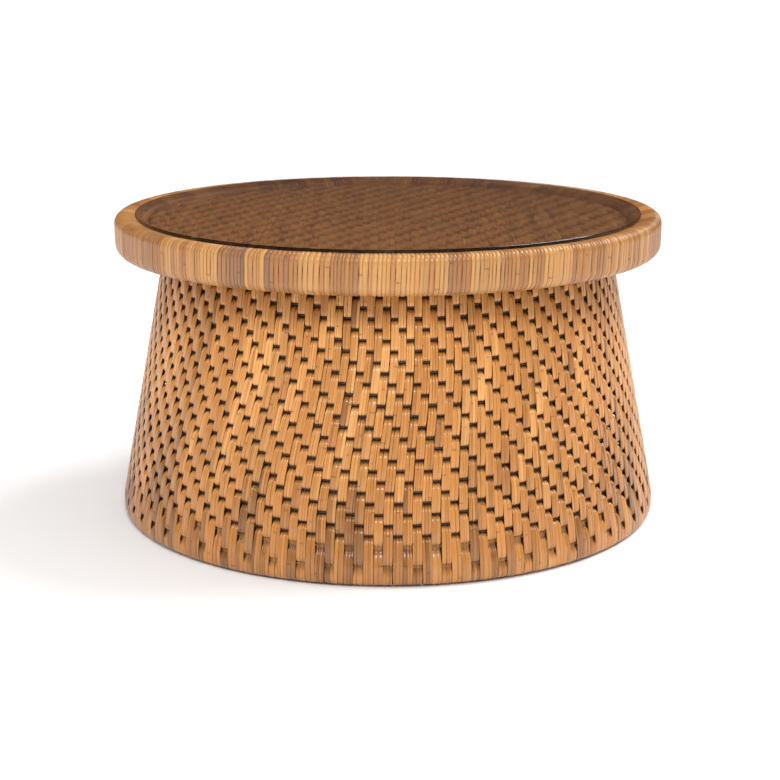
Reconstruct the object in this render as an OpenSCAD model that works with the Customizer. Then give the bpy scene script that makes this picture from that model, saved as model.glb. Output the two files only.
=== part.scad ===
// Round woven-rattan coffee table: a conical woven drum on a pole frame, a cane-wrapped
// four-hoop rim, a woven mat top and a loose glass disc that lifts out.
// Millimetres, +Z up, origin on the floor at the table's axis.

/* [Overall] */
// Diameter over the wrapped rim
rim_d = 800; // [700:10:900]
// Widest diameter of the woven drum, near the floor
base_d = 800; // [700:10:900]
// Diameter of the woven drum where it meets the top board
neck_d = 651; // [600:1:680]
// Height of the glass top face above the floor
table_h = 444.5; // [420:0.5:480]

/* [Glass] */
// Diameter of the glass disc
glass_d = 740; // [700:1:744]
// Thickness of the glass disc
glass_t = 5; // [4:0.5:6]
// Diameter of each clear pad
pad_d = 10; // [6:1:14]
// Number of clear pads
pad_count = 8; // [4:1:12]

/* [Rim] */
// Diameter of the upper outer rim pole
pole_a_d = 22; // [20:0.5:24]
// Diameter of the upper inner rim pole
pole_b_d = 22; // [20:0.5:24]
// Diameter of the lower outer rim pole
pole_c_d = 28; // [25:0.5:29]
// Diameter of the lower inner rim pole
pole_d_d = 18; // [16:0.5:20]
// Thickness of the cane wrapping
wrap_t = 1.2; // [1:0.1:1.6]
// Height of the rim from its underside to its crest
rim_h = 55.7; // [54:0.1:60]
// Drop of the rim crest below the glass top face
crest_drop = 1.15; // [0:0.05:2]
// Fall from the outer to the inner upper pole, which makes the dished shoulder
shoulder_fall = 6.3; // [5:0.1:8]
// Number of nails that hold each pair of rim poles
rim_nail_count = 12; // [8:2:16]

/* [Top panel] */
// Depth of the woven mat's face below the glass top face
mat_drop = 16.9; // [15:0.1:20]
// Thickness of the woven mat
mat_t = 2.5; // [2:0.1:4]
// Thickness of the plywood board
board_t = 12; // [9:1:15]
// Number of screws from the board into the top hoop
board_screw_count = 8; // [6:1:12]

/* [Frame] */
// Diameter of the top hoop pole
top_hoop_d = 22; // [20:1:26]
// Diameter of the middle hoop pole
mid_hoop_d = 18; // [14:1:20]
// Height of the middle hoop above the floor
mid_hoop_z = 210; // [150:5:260]
// Diameter of the bottom hoop pole
base_hoop_d = 24; // [20:1:26]
// Diameter of the upright posts
post_d = 20; // [16:1:22]
// Diameter of the cross braces under the board
brace_d = 20; // [16:1:22]

/* [Weave] */
// Thickness of the layer of upright peel strips
strip_t = 3; // [2:0.5:4]
// Diameter of the hidden weft reeds
weft_d = 3.6; // [3:0.1:4]
// Number of weft reed rows
weft_rows = 26; // [20:1:26]
// Height of the lowest weft reed
weft_z = 27; // [24:0.5:28]
// Rise from the lowest row to the second
low_rise = 26; // [14:0.5:26]
// Rise from the second row to the third
mid_rise = 16; // [14:0.5:16]
// Rise from one weft row to the next above those
weft_pitch = 14; // [12:0.1:14]
// Room kept for the whole weave in front of the frame
weave_depth = 8.5; // [7:0.5:10]

/* [Base] */
// Number of glides under the base
glide_count = 8; // [6:1:12]
// Diameter of a glide
glide_d = 20; // [14:1:22]
// Height of a glide
glide_t = 2.5; // [2:0.5:5]

/* [Hidden] */
$fn = 96;

POST_COUNT = 8;
GAP = 0.15;          // clearance kept between neighbouring curved pieces
FIT = 0.05;          // clearance of a nail or screw in its hole
GLASS_ARRIS = 0.6;   // chamfer on the glass edge
ARC_STEPS = 8;       // segments in each arc of the rim outline
WEFT_SIDES = 8;      // the reeds are shaved to eight flats

// Rim poles: centres as [radius, height], sizes as wrapped radii
wrap_r_a = pole_a_d / 2 + GAP + wrap_t;
wrap_r_b = pole_b_d / 2 + GAP + wrap_t;
wrap_r_c = pole_c_d / 2 + GAP + wrap_t;
wrap_r_d = pole_d_d / 2 + GAP + wrap_t;
crest_z = table_h - crest_drop;
rim_z = crest_z - rim_h;
POLE_GAP = 0.2;
LOWER_INSET = 0.45;  // the lower outer pole sits this far inside the upper one
UPPER_SPACING = 24.3; // from the upper outer pole's centre in to the upper inner one's
pos_a = [rim_d / 2 - wrap_r_a, crest_z - wrap_r_a];
pos_c = [rim_d / 2 - wrap_r_c - LOWER_INSET, rim_z + wrap_r_c];
pos_b = [pos_a[0] - UPPER_SPACING, pos_a[1] - shoulder_fall];
pos_d = [pos_c[0] - pole_c_d / 2 - pole_d_d / 2 - POLE_GAP, rim_z + wrap_r_d];

// Top panel heights
PAD_INSET = 2.5;     // the pads sit this far inside the upper inner pole's centre
PAD_REACH = 6;
glass_z = table_h - glass_t;
mat_top = table_h - mat_drop;
board_top = mat_top - mat_t;
board_z = board_top - board_t;
BOARD_INSET = 0.35;  // the board's edge stands this far inside the brackets' outer face
MAT_INSET = 0.3;
leg_r = pos_d[0] - wrap_r_d - GAP; // outer face of the angle brackets
board_r = leg_r - BOARD_INSET;
mat_r = board_r - MAT_INSET;

// Drum: the outer face is a cone above knee_z and rolls under below it
knee_z = 26;
drum_top = board_z - GAP;
slope = (base_d / 2 - neck_d / 2) / (drum_top - knee_z);
function side_r(z) = base_d / 2 - slope * (z - knee_z);
function circle_arc(centre, r, from, to, steps) =
    [for (i = [0 : steps]) let (a = from + (to - from) * i / steps)
        [centre[0] + r * cos(a), centre[1] + r * sin(a)]];

// Frame
top_hoop_z = board_z - top_hoop_d / 2 - GAP;
top_hoop_r = side_r(top_hoop_z) - weave_depth - top_hoop_d / 2;
fold_t = 2;          // thickness of the strips folded under the bottom hoop
base_hoop_z = glide_t + fold_t + GAP + base_hoop_d / 2;
base_hoop_r = base_d / 2 - weave_depth - base_hoop_d / 2;
lean = atan((base_hoop_r - top_hoop_r) / (top_hoop_z - base_hoop_z));
post_len = norm([base_hoop_r - top_hoop_r, top_hoop_z - base_hoop_z]);
function post_r(z) = base_hoop_r - (z - base_hoop_z) * tan(lean);
mid_hoop_r = post_r(mid_hoop_z) - (post_d / 2) / cos(lean) - mid_hoop_d / 2 - GAP;
brace_z = board_z - brace_d / 2 - GAP;

// Fixings
NAIL_D = 2;
NAIL_SHARE = 0.35;   // a rim nail starts and ends this share of a pole's diameter past its centre
LOWER_NAIL_TURN = 12;
SIDE_NAIL_TURN = 20;
SCREW_D = 4;
SCREW_HEAD_D = 8;
SCREW_HEAD_T = 2.5;
COUNTERBORE = 6;     // how far a screw hole stays open past the head
SMALL_D = 3;         // bracket screw shank
SMALL_HEAD_D = 6;
SMALL_HEAD_T = 1.5;
BRACE_TURN = 22.5;   // the braces and brackets stand halfway between posts
BOARD_SCREW_TURN = 11.25;
BRACE_SCREW_R = 150; // radius of the board screws into the braces
TACK_HEAD_D = 5;
TACK_HEAD_T = 0.6;
BRACKET_T = 1.5;
BRACKET_W = 16;
BRACKET_LEG = 18;
BRACKET_DROP = 22;
COVER_T = 2;
COVER_W = 13;
COVER_BELOW_TOP = 4; // the upper cover strip ends this far below the top of the weave
TACKS_PER_STRIP = 24;
TACK_TURN = 3.75;
TACK_D = 1.6;
TACK_LEN_OUT = 17;
TACK_LEN_IN = 11;
top_cover_z = drum_top - COVER_W - COVER_BELOW_TOP;
cover_r_out = side_r(top_cover_z + COVER_W / 2) + GAP + COVER_T;
fold_r_in = base_hoop_r - base_hoop_d / 2 - GAP - fold_t;
cover_r_in = fold_r_in - GAP - COVER_T;

module ring(r, z, d, sides = 32) {
    translate([0, 0, z]) rotate_extrude() translate([r, 0]) circle(d = d, $fn = sides);
}

module band(r_in, r_out, z, h) {
    translate([0, 0, z]) difference() {
        cylinder(r = r_out, h = h);
        translate([0, 0, -1]) cylinder(r = r_in, h = h + 2);
    }
}

module around(count, r, start = 0) {
    for (i = [0 : count - 1]) rotate([0, 0, start + i * 360 / count]) translate([r, 0, 0]) children();
}

// A rod along +Z with a flat head at its top end; grow turns it into its own counterbored hole
module headed(d, len, head_d, head_t, grow = 0) {
    cylinder(d = d + 2 * grow, h = len);
    translate([0, 0, len - head_t - grow])
        cylinder(d = head_d + 2 * grow, h = head_t + (grow > 0 ? COUNTERBORE : 0));
}

// Outline of the wrapped rim: four arcs joined by straight runs, anticlockwise.
// A run between two circles leaves both at the same outward normal, found here.
function run_angle(p, rp, q, rq) = let (v = q - p)
    atan2(v[1], v[0]) - 90 + asin((rp - rq) / norm(v));
function rim_outline(shrink) = let (
        ang_ca = run_angle(pos_c, wrap_r_c, pos_a, wrap_r_a),
        ang_ab = run_angle(pos_a, wrap_r_a, pos_b, wrap_r_b) + 360,
        ang_bd = run_angle(pos_b, wrap_r_b, pos_d, wrap_r_d) + 360,
        ang_dc = run_angle(pos_d, wrap_r_d, pos_c, wrap_r_c))
    concat(
        circle_arc(pos_c, wrap_r_c - shrink, ang_dc, ang_ca, ARC_STEPS),
        circle_arc(pos_a, wrap_r_a - shrink, ang_ca, ang_ab, ARC_STEPS),
        circle_arc(pos_b, wrap_r_b - shrink, ang_ab, ang_bd, ARC_STEPS),
        circle_arc(pos_d, wrap_r_d - shrink, ang_bd, ang_dc + 360, ARC_STEPS));

module rim_nail(p, q, from_d, to_d) {
    dir = (q - p) / norm(q - p);
    start = p - dir * from_d * NAIL_SHARE;
    len = norm(q - p) + (from_d + to_d) * NAIL_SHARE;
    translate([start[0], 0, start[1]]) rotate([0, atan2(dir[0], dir[1]), 0])
        cylinder(d = NAIL_D, h = len);
}

// Short screws go up into the board, longer ones go outward into the lower inner pole
module bracket_screw_set(grow = 0) {
    up_len = 10;
    out_len = 16;
    around(POST_COUNT, leg_r - BRACKET_LEG / 2, BRACE_TURN)
        translate([0, 0, board_z - GAP - BRACKET_T - SMALL_HEAD_T + up_len]) rotate([180, 0, 0])
            headed(SMALL_D, up_len, SMALL_HEAD_D, SMALL_HEAD_T, grow);
    around(POST_COUNT, leg_r - BRACKET_T - SMALL_HEAD_T + out_len, BRACE_TURN)
        translate([0, 0, pos_d[1]]) rotate([0, -90, 0])
            headed(SMALL_D, out_len, SMALL_HEAD_D, SMALL_HEAD_T, grow);
}

module post_screw_set(grow = 0) {
    grip = 40;
    tip = 3;
    around(POST_COUNT, base_hoop_r) translate([0, 0, base_hoop_z]) rotate([0, -lean, 0]) {
        translate([0, 0, grip]) rotate([180, 0, 0])
            headed(SCREW_D, grip + base_hoop_d / 2 - tip, SCREW_HEAD_D, SCREW_HEAD_T, grow);
        translate([0, 0, post_len - grip])
            headed(SCREW_D, grip + top_hoop_d / 2 - tip, SCREW_HEAD_D, SCREW_HEAD_T, grow);
    }
}

// Board screws go into the top hoop, and one into each brace arm
module board_screw_set(grow = 0) {
    len = 24.5;
    sink = 0.5;
    around(board_screw_count, top_hoop_r, BOARD_SCREW_TURN) translate([0, 0, board_top - sink - len])
        headed(SCREW_D, len, SCREW_HEAD_D, SCREW_HEAD_T, grow);
    around(4, BRACE_SCREW_R, BRACE_TURN) translate([0, 0, board_top - sink - len])
        headed(SCREW_D, len, SCREW_HEAD_D, SCREW_HEAD_T, grow);
}

// Screws through the top hoop into the brace ends
module brace_screw_set(grow = 0) {
    len = 49;
    sink = 2;
    around(4, top_hoop_r + top_hoop_d / 2 - sink - len, BRACE_TURN) translate([0, 0, brace_z])
        rotate([0, 90, 0]) headed(SCREW_D, len, SCREW_HEAD_D, SCREW_HEAD_T, grow);
}

module glide_nail_set(grow = 0) {
    len = 18;
    head_z = 0.8;
    around(glide_count, base_hoop_r, BRACE_TURN) translate([0, 0, head_z + len]) rotate([180, 0, 0])
        headed(NAIL_D, len, TACK_HEAD_D, TACK_HEAD_T, grow);
}

// Glass
module glass_top() {
    color([0.55, 0.66, 0.6, 0.5]) rotate_extrude() polygon([
        [0, glass_z], [glass_d / 2 - GLASS_ARRIS, glass_z], [glass_d / 2, glass_z + GLASS_ARRIS],
        [glass_d / 2, table_h - GLASS_ARRIS], [glass_d / 2 - GLASS_ARRIS, table_h], [0, table_h]]);
}

// Clear pads, cut below to sit on the rim's sloping shoulder
module glass_pads() {
    color([0.9, 0.92, 0.92]) difference() {
        around(pad_count, pos_b[0] - PAD_INSET) translate([0, 0, glass_z - PAD_REACH])
            cylinder(d = pad_d, h = PAD_REACH, $fn = 32);
        rotate_extrude() polygon(rim_outline(-FIT));
    }
}

// Top panel
module top_mat() {
    color([0.5, 0.36, 0.25]) translate([0, 0, board_top]) cylinder(r = mat_r, h = mat_t);
}

module top_board() {
    color([0.75, 0.6, 0.42]) difference() {
        translate([0, 0, board_z]) cylinder(r = board_r, h = board_t);
        board_screw_set(FIT);
        bracket_screw_set(FIT);
    }
}

// Rim
module rim_wrap() {
    color([0.8, 0.62, 0.42]) difference() {
        rotate_extrude() polygon(rim_outline(0));
        rotate_extrude() polygon(rim_outline(wrap_t));
        bracket_screw_set(FIT);
    }
}

module rim_pole_upper_outer() { color([0.76, 0.58, 0.36]) ring(pos_a[0], pos_a[1], pole_a_d); }
module rim_pole_upper_inner() { color([0.76, 0.58, 0.36]) ring(pos_b[0], pos_b[1], pole_b_d); }
module rim_pole_lower_outer() { color([0.76, 0.58, 0.36]) ring(pos_c[0], pos_c[1], pole_c_d); }
module rim_pole_lower_inner() {
    color([0.76, 0.58, 0.36]) difference() {
        ring(pos_d[0], pos_d[1], pole_d_d);
        bracket_screw_set(FIT);
    }
}
// Nails and tacks are driven straight into the wood, so they have no holes
module rim_nails() {
    color([0.6, 0.6, 0.62]) {
        around(rim_nail_count, 0) rim_nail(pos_b, pos_a, pole_b_d, pole_a_d);
        around(rim_nail_count, 0, LOWER_NAIL_TURN) rim_nail(pos_d, pos_c, pole_d_d, pole_c_d);
        around(rim_nail_count, 0, SIDE_NAIL_TURN) rim_nail(pos_c, pos_a, pole_c_d, pole_a_d);
    }
}

module rim_brackets() {
    color([0.55, 0.55, 0.57]) difference() {
        around(POST_COUNT, leg_r, BRACE_TURN) {
            translate([-BRACKET_T, -BRACKET_W / 2, board_z - BRACKET_DROP])
                cube([BRACKET_T, BRACKET_W, BRACKET_DROP - GAP]);
            translate([-BRACKET_LEG, -BRACKET_W / 2, board_z - BRACKET_T - GAP])
                cube([BRACKET_LEG, BRACKET_W, BRACKET_T]);
        }
        bracket_screw_set(FIT);
    }
}

module bracket_screws() { color([0.7, 0.7, 0.72]) bracket_screw_set(); }

// Frame
module top_hoop() {
    color([0.74, 0.56, 0.34]) difference() {
        ring(top_hoop_r, top_hoop_z, top_hoop_d);
        post_screw_set(FIT);
        board_screw_set(FIT);
        brace_screw_set(FIT);
    }
}

module middle_hoop() {
    color([0.74, 0.56, 0.34]) ring(mid_hoop_r, mid_hoop_z, mid_hoop_d);
}

module bottom_hoop() {
    color([0.74, 0.56, 0.34]) difference() {
        ring(base_hoop_r, base_hoop_z, base_hoop_d);
        post_screw_set(FIT);
    }
}

module post(i) {
    color([0.78, 0.6, 0.38]) difference() {
        rotate([0, 0, (i - 1) * 360 / POST_COUNT]) translate([base_hoop_r, 0, base_hoop_z])
            rotate([0, -lean, 0]) cylinder(d = post_d, h = post_len);
        ring(base_hoop_r, base_hoop_z, base_hoop_d + 2 * GAP);
        ring(top_hoop_r, top_hoop_z, top_hoop_d + 2 * GAP);
        post_screw_set(FIT);
    }
}

// The long brace crosses the whole hoop and the two short ones butt against it
module brace(from, to, turn) {
    difference() {
        rotate([0, 0, turn]) translate([from, 0, brace_z]) rotate([0, 90, 0])
            cylinder(d = brace_d, h = to - from);
        ring(top_hoop_r, top_hoop_z, top_hoop_d + 2 * GAP);
        board_screw_set(FIT);
        brace_screw_set(FIT);
    }
}

module brace_long() { color([0.78, 0.6, 0.38]) brace(-top_hoop_r, top_hoop_r, BRACE_TURN); }
module brace_left() {
    color([0.78, 0.6, 0.38]) brace(brace_d / 2 + GAP, top_hoop_r, BRACE_TURN + 90);
}
module brace_right() {
    color([0.78, 0.6, 0.38]) brace(brace_d / 2 + GAP, top_hoop_r, BRACE_TURN - 90);
}

module board_screws() { color([0.8, 0.7, 0.4]) board_screw_set(); }
module post_screws() { color([0.8, 0.7, 0.4]) post_screw_set(); }
module brace_screws() { color([0.8, 0.7, 0.4]) brace_screw_set(); }
// Nails through the middle hoop into the posts
module hoop_nails() {
    proud = 0.5;
    bite = 12;
    color([0.6, 0.6, 0.62]) around(POST_COUNT, mid_hoop_r - mid_hoop_d / 2 - proud)
        translate([0, 0, mid_hoop_z]) rotate([0, 90, 0]) cylinder(d = NAIL_D, h = mid_hoop_d + bite);
}

// One oval binding round each crossing of a post and the middle hoop, set on the diagonal
module lashing_outline(extra) {
    steps = 16;
    stretch = sqrt(2);
    post_x = (post_r(mid_hoop_z) - mid_hoop_r) / 2;
    r1 = post_d / 2 + extra;
    r2 = mid_hoop_d / 2 + extra;
    polygon(concat(
        [for (i = [0 : steps]) let (a = -90 + i * 180 / steps)
            [post_x + r1 * cos(a), (post_d / 2 * stretch + extra) * sin(a)]],
        [for (i = [0 : steps]) let (a = 90 + i * 180 / steps)
            [-post_x + r2 * cos(a), (mid_hoop_d / 2 * stretch + extra) * sin(a)]]));
}

module hoop_lashings() {
    slack = 3.2;
    binding_t = 1.2;
    binding_w = 5;
    color([0.66, 0.48, 0.3]) around(POST_COUNT, (post_r(mid_hoop_z) + mid_hoop_r) / 2)
        translate([0, 0, mid_hoop_z]) rotate([45, 0, 0])
            linear_extrude(height = binding_w, center = true) difference() {
                lashing_outline(slack + binding_t);
                lashing_outline(slack);
            }
}

// Weave: the upright strips run down outside the hoops, fold under the bottom hoop and
// come up inside it
module side_weave() {
    roll = 8;
    fold_drop = 5;
    fold_top = base_hoop_z + base_hoop_d / 2 - fold_drop;
    outer_r = base_d / 2;
    inner_r = fold_r_in;
    under_z = glide_t;
    color([0.82, 0.6, 0.36]) rotate_extrude() polygon(concat(
        [[side_r(drum_top) - strip_t, drum_top], [outer_r - strip_t, knee_z]],
        circle_arc([outer_r - roll, under_z + roll], roll - strip_t, 0, -75, 4),
        [[base_hoop_r + base_hoop_d / 4, under_z + fold_t], [inner_r + fold_t, under_z + fold_t],
            [inner_r + fold_t, fold_top], [inner_r, fold_top]],
        circle_arc([inner_r + fold_t, under_z + fold_t], fold_t, 180, 270, 4),
        circle_arc([outer_r - roll, under_z + roll], roll, -90, 0, 6),
        [[outer_r, knee_z], [side_r(drum_top), drum_top]]));
}

// The rows stand evenly apart, but for the two lowest, which are spread wider
function weft_height(i) = weft_z + (i > 0 ? low_rise : 0) + (i > 1 ? mid_rise : 0)
    + max(i - 2, 0) * weft_pitch;

module weft_reeds() {
    color([0.5, 0.36, 0.22]) for (i = [0 : weft_rows - 1])
        let (z = weft_height(i))
            ring(side_r(z) - strip_t - GAP - weft_d / 2, z, weft_d, WEFT_SIDES);
}

// Flat reed that hides the upper ends of the strips, outside the weave
module top_cover_strip() {
    z0 = top_cover_z;
    z1 = top_cover_z + COVER_W;
    color([0.72, 0.52, 0.32]) rotate_extrude() polygon([
        [side_r(z0) + GAP, z0], [side_r(z0) + GAP + COVER_T, z0],
        [side_r(z1) + GAP + COVER_T, z1], [side_r(z1) + GAP, z1]]);
}

// Flat reed that hides the folded ends of the strips, inside the bottom hoop
module bottom_cover_strip() {
    color([0.72, 0.52, 0.32])
        band(cover_r_in, cover_r_in + COVER_T, base_hoop_z - COVER_W / 2, COVER_W);
}

// Tacks through the two cover strips into the hoops behind them
module cover_strip_tacks() {
    color([0.72, 0.6, 0.3]) {
        around(TACKS_PER_STRIP, cover_r_out + TACK_HEAD_T - TACK_LEN_OUT, TACK_TURN)
            translate([0, 0, top_cover_z + COVER_W / 2]) rotate([0, 90, 0])
                headed(TACK_D, TACK_LEN_OUT, TACK_HEAD_D, TACK_HEAD_T);
        around(TACKS_PER_STRIP, cover_r_in - TACK_HEAD_T + TACK_LEN_IN, TACK_TURN)
            translate([0, 0, base_hoop_z]) rotate([0, -90, 0])
                headed(TACK_D, TACK_LEN_IN, TACK_HEAD_D, TACK_HEAD_T);
    }
}

// Base
module floor_glides() {
    color([0.12, 0.12, 0.12]) difference() {
        around(glide_count, base_hoop_r, BRACE_TURN) cylinder(d = glide_d, h = glide_t, $fn = 48);
        glide_nail_set(FIT);
    }
}

module glide_nails() { color([0.6, 0.6, 0.62]) glide_nail_set(); }

glass_top();
glass_pads();
top_mat();
top_board();
rim_wrap();
rim_pole_upper_outer();
rim_pole_upper_inner();
rim_pole_lower_outer();
rim_pole_lower_inner();
rim_nails();
rim_brackets();
bracket_screws();
top_hoop();
middle_hoop();
bottom_hoop();
post(1);  // post_1
post(2);  // post_2
post(3);  // post_3
post(4);  // post_4
post(5);  // post_5
post(6);  // post_6
post(7);  // post_7
post(8);  // post_8
brace_long();
brace_left();
brace_right();
board_screws();
post_screws();
brace_screws();
hoop_nails();
hoop_lashings();
side_weave();
weft_reeds();
top_cover_strip();
bottom_cover_strip();
cover_strip_tacks();
floor_glides();
glide_nails();
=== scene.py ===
"""Looks of a round woven rattan coffee table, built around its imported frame.

Lengths are metres in the frame's own axes: +Z up, the origin on the floor at the table's
axis. Places come from the frame's nodes, and the other sizes from the settings below.
"""

import math

import bpy
import numpy as np
from bpy.props import FloatProperty, FloatVectorProperty, IntProperty, PointerProperty
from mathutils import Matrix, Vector


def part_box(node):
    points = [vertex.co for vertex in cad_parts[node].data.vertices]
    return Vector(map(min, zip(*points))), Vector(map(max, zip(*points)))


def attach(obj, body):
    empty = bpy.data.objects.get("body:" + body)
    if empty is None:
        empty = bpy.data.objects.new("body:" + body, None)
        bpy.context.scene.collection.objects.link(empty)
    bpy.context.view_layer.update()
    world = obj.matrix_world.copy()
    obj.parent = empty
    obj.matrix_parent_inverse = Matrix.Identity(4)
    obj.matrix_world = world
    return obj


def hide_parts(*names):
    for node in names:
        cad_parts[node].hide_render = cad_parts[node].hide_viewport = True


bl_info = {
    "name": "Woven rattan coffee table",
    "version": (1, 0, 0),
    "blender": (4, 5, 0),
    "location": "View3D > Sidebar > Rattan Table",
    "description": "Builds the woven drum, bound rim, twill mat and finishes of a coffee table",
    "category": "Add Mesh",
}

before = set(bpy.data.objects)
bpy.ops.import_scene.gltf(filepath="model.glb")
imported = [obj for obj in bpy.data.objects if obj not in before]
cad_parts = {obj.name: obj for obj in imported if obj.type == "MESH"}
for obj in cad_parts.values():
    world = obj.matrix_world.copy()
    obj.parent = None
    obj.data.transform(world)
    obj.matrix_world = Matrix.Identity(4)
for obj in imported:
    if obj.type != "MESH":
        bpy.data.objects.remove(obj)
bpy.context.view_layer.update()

TABLE = "table"
MM = 0.001

# Outline of a strip of split cane, as shares of its width and thickness, flat face inward
CANE_SECTION = np.array(
    [(-0.5, 0.0), (0.5, 0.0), (0.5, 0.72), (0.3, 1.0), (-0.3, 1.0), (-0.5, 0.72)]
)
BINDING_SECTION = np.array(
    [(-0.5, 0.0), (0.5, 0.0), (0.5, 0.3), (0.3, 0.86), (0.0, 1.0), (-0.3, 0.86), (-0.5, 0.3)]
)
REED_SIDES = 6

# Seeds of the random draws of each piece
RIM_SEED, DRUM_SEED, WEFT_SEED, MAT_SEED, LASHING_SEED = 21, 5, 9, 33, 13


# --- Sizes read from the frame -------------------------------------------------------


def ring_points(node):
    """(radius, height) of every vertex of a CAD node."""
    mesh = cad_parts[node].data
    places = np.empty(len(mesh.vertices) * 3)
    mesh.vertices.foreach_get("co", places)
    places = places.reshape(-1, 3)
    return np.column_stack([np.hypot(places[:, 0], places[:, 1]), places[:, 2]])


def post_nodes():
    """The drum's upright posts."""
    return sorted(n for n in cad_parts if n.startswith("post_") and n[5:].isdigit())


class Hoop:
    """A round pole bent into a ring, with its middle line's radius and height."""

    def __init__(self, node):
        low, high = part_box(node)
        self.thickness = high.z - low.z
        self.radius = high.x - self.thickness / 2
        self.height = (low.z + high.z) / 2


class Drum:
    """The woven wall: a cone down to the knee, then straight down and rolled under the
    bottom hoop to a folded end inside it."""

    def __init__(self):
        points = ring_points("side_weave")
        radii, heights = points[:, 0], points[:, 1]
        self.top = heights.max()
        self.under = heights.min()
        self.base_radius = radii.max()
        at_base = radii > self.base_radius - 0.01 * MM
        self.knee = heights[at_base].max()
        self.top_radius = radii[heights > self.top - 0.01 * MM].max()
        self.roll = self.base_radius - radii[heights < self.under + 0.01 * MM].max()
        self.fold_radius = radii.min()
        self.fold_top = heights[radii < self.fold_radius + 1 * MM].max()
        self.slope = (self.base_radius - self.top_radius) / (self.top - self.knee)
        tilt = math.atan(self.slope)
        self.normal = (math.cos(tilt), math.sin(tilt))

    def radius(self, height):
        """Radius of the outer face of the cone at a height."""
        return self.base_radius - self.slope * (height - self.knee)


def weft_rows():
    """(radius, height) of each ring of weft reed, lowest first."""
    points = ring_points("weft_reeds")
    points = points[np.argsort(points[:, 1])]
    breaks = np.nonzero(np.diff(points[:, 1]) > 5 * MM)[0] + 1
    return [(ring.min(0) + ring.max(0)) / 2 for ring in np.split(points, breaks)]


def hull(points):
    """The convex outline of 2D points, anticlockwise."""

    def half(ordered):
        kept = []
        for point in ordered:
            while len(kept) > 1:
                first, second = kept[-1] - kept[-2], point - kept[-1]
                if first[0] * second[1] - first[1] * second[0] > 1e-9:
                    break
                kept.pop()
            kept.append(point)
        return kept[:-1]

    ordered = np.unique(np.round(points, 6), axis=0)
    return np.array(half(ordered) + half(ordered[::-1]))


def even_loop(outline, count):
    """A closed outline taken again at evenly spaced points."""
    closed = np.vstack([outline, outline[:1]])
    run = np.concatenate([[0], np.cumsum(np.linalg.norm(np.diff(closed, axis=0), axis=1))])
    at = np.linspace(0, run[-1], count, endpoint=False)
    return np.column_stack([np.interp(at, run, closed[:, k]) for k in (0, 1)])


# --- Meshes --------------------------------------------------------------------------


def unit(vectors):
    return vectors / np.linalg.norm(vectors, axis=-1, keepdims=True)


def polar(radius, angle, height):
    """Points from a radius, an angle and a height, each a number or an array."""
    radius, angle, height = np.broadcast_arrays(radius, angle, height)
    return np.stack([radius * np.cos(angle), radius * np.sin(angle), height], axis=-1)


class Strip:
    """One cane: the line of its inner face, the way its outer face looks, and its width,
    thickness, tone and depth in the weave at each point of the line."""

    def __init__(self, line, facing, width, thickness, tone, depth=0.0, closed=False):
        self.line = line
        self.facing = np.broadcast_to(facing, line.shape)
        self.width, self.thickness, self.tone, self.depth = (
            np.broadcast_to(value, len(line)) for value in (width, thickness, tone, depth)
        )
        self.closed = closed

    def rings(self, section):
        """Vertices, (points, section corners, 3)."""
        if self.closed:
            tangent = np.roll(self.line, -1, axis=0) - np.roll(self.line, 1, axis=0)
        else:
            tangent = np.gradient(self.line, axis=0)
        tangent = unit(tangent)
        across = unit(np.cross(self.facing, tangent))
        outward = np.cross(tangent, across)
        side = (section[:, 0] * self.width[:, None])[..., None]
        rise = (section[:, 1] * self.thickness[:, None])[..., None]
        return self.line[:, None] + across[:, None] * side + outward[:, None] * rise

    def run(self):
        """Length along the line up to each point."""
        steps = np.linalg.norm(np.diff(self.line, axis=0), axis=1)
        return np.concatenate([[0], np.cumsum(steps)])


def cane_piece(name, strips, section=CANE_SECTION):
    """One object that holds the closed mesh of every strip, with attributes for the finish:
    tone, depth, and fibre as (across, along, which cane)."""
    corners = len(section)
    vertices, quads, caps, tones, depths, fibres = [], [], [], [], [], []
    base = 0
    for number, strip in enumerate(strips):
        count = len(strip.line)
        index = base + np.arange(count * corners).reshape(count, corners)
        here = index if strip.closed else index[:-1]
        there = np.roll(index, -1, axis=0) if strip.closed else index[1:]
        quad = [here, np.roll(here, -1, axis=1), np.roll(there, -1, axis=1), there]
        quads.append(np.stack(quad, axis=-1).reshape(-1, 4))
        if not strip.closed:
            caps += [index[0][::-1], index[-1]]
        vertices.append(strip.rings(section).reshape(-1, 3))
        tones.append(np.repeat(strip.tone, corners))
        depths.append(np.repeat(strip.depth, corners))
        across = section[:, 0] * strip.width[:, None]
        along = np.repeat(strip.run()[:, None], corners, axis=1)
        which = np.full_like(across, number * 0.37)
        fibres.append(np.stack([across, along, which], axis=-1).reshape(-1, 3))
        base += count * corners
    return mesh_object(
        name,
        np.concatenate(vertices),
        np.concatenate(quads),
        np.array(caps, int).reshape(-1, corners),
        {"tone": np.concatenate(tones), "depth": np.concatenate(depths)},
        np.concatenate(fibres),
    )


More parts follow.
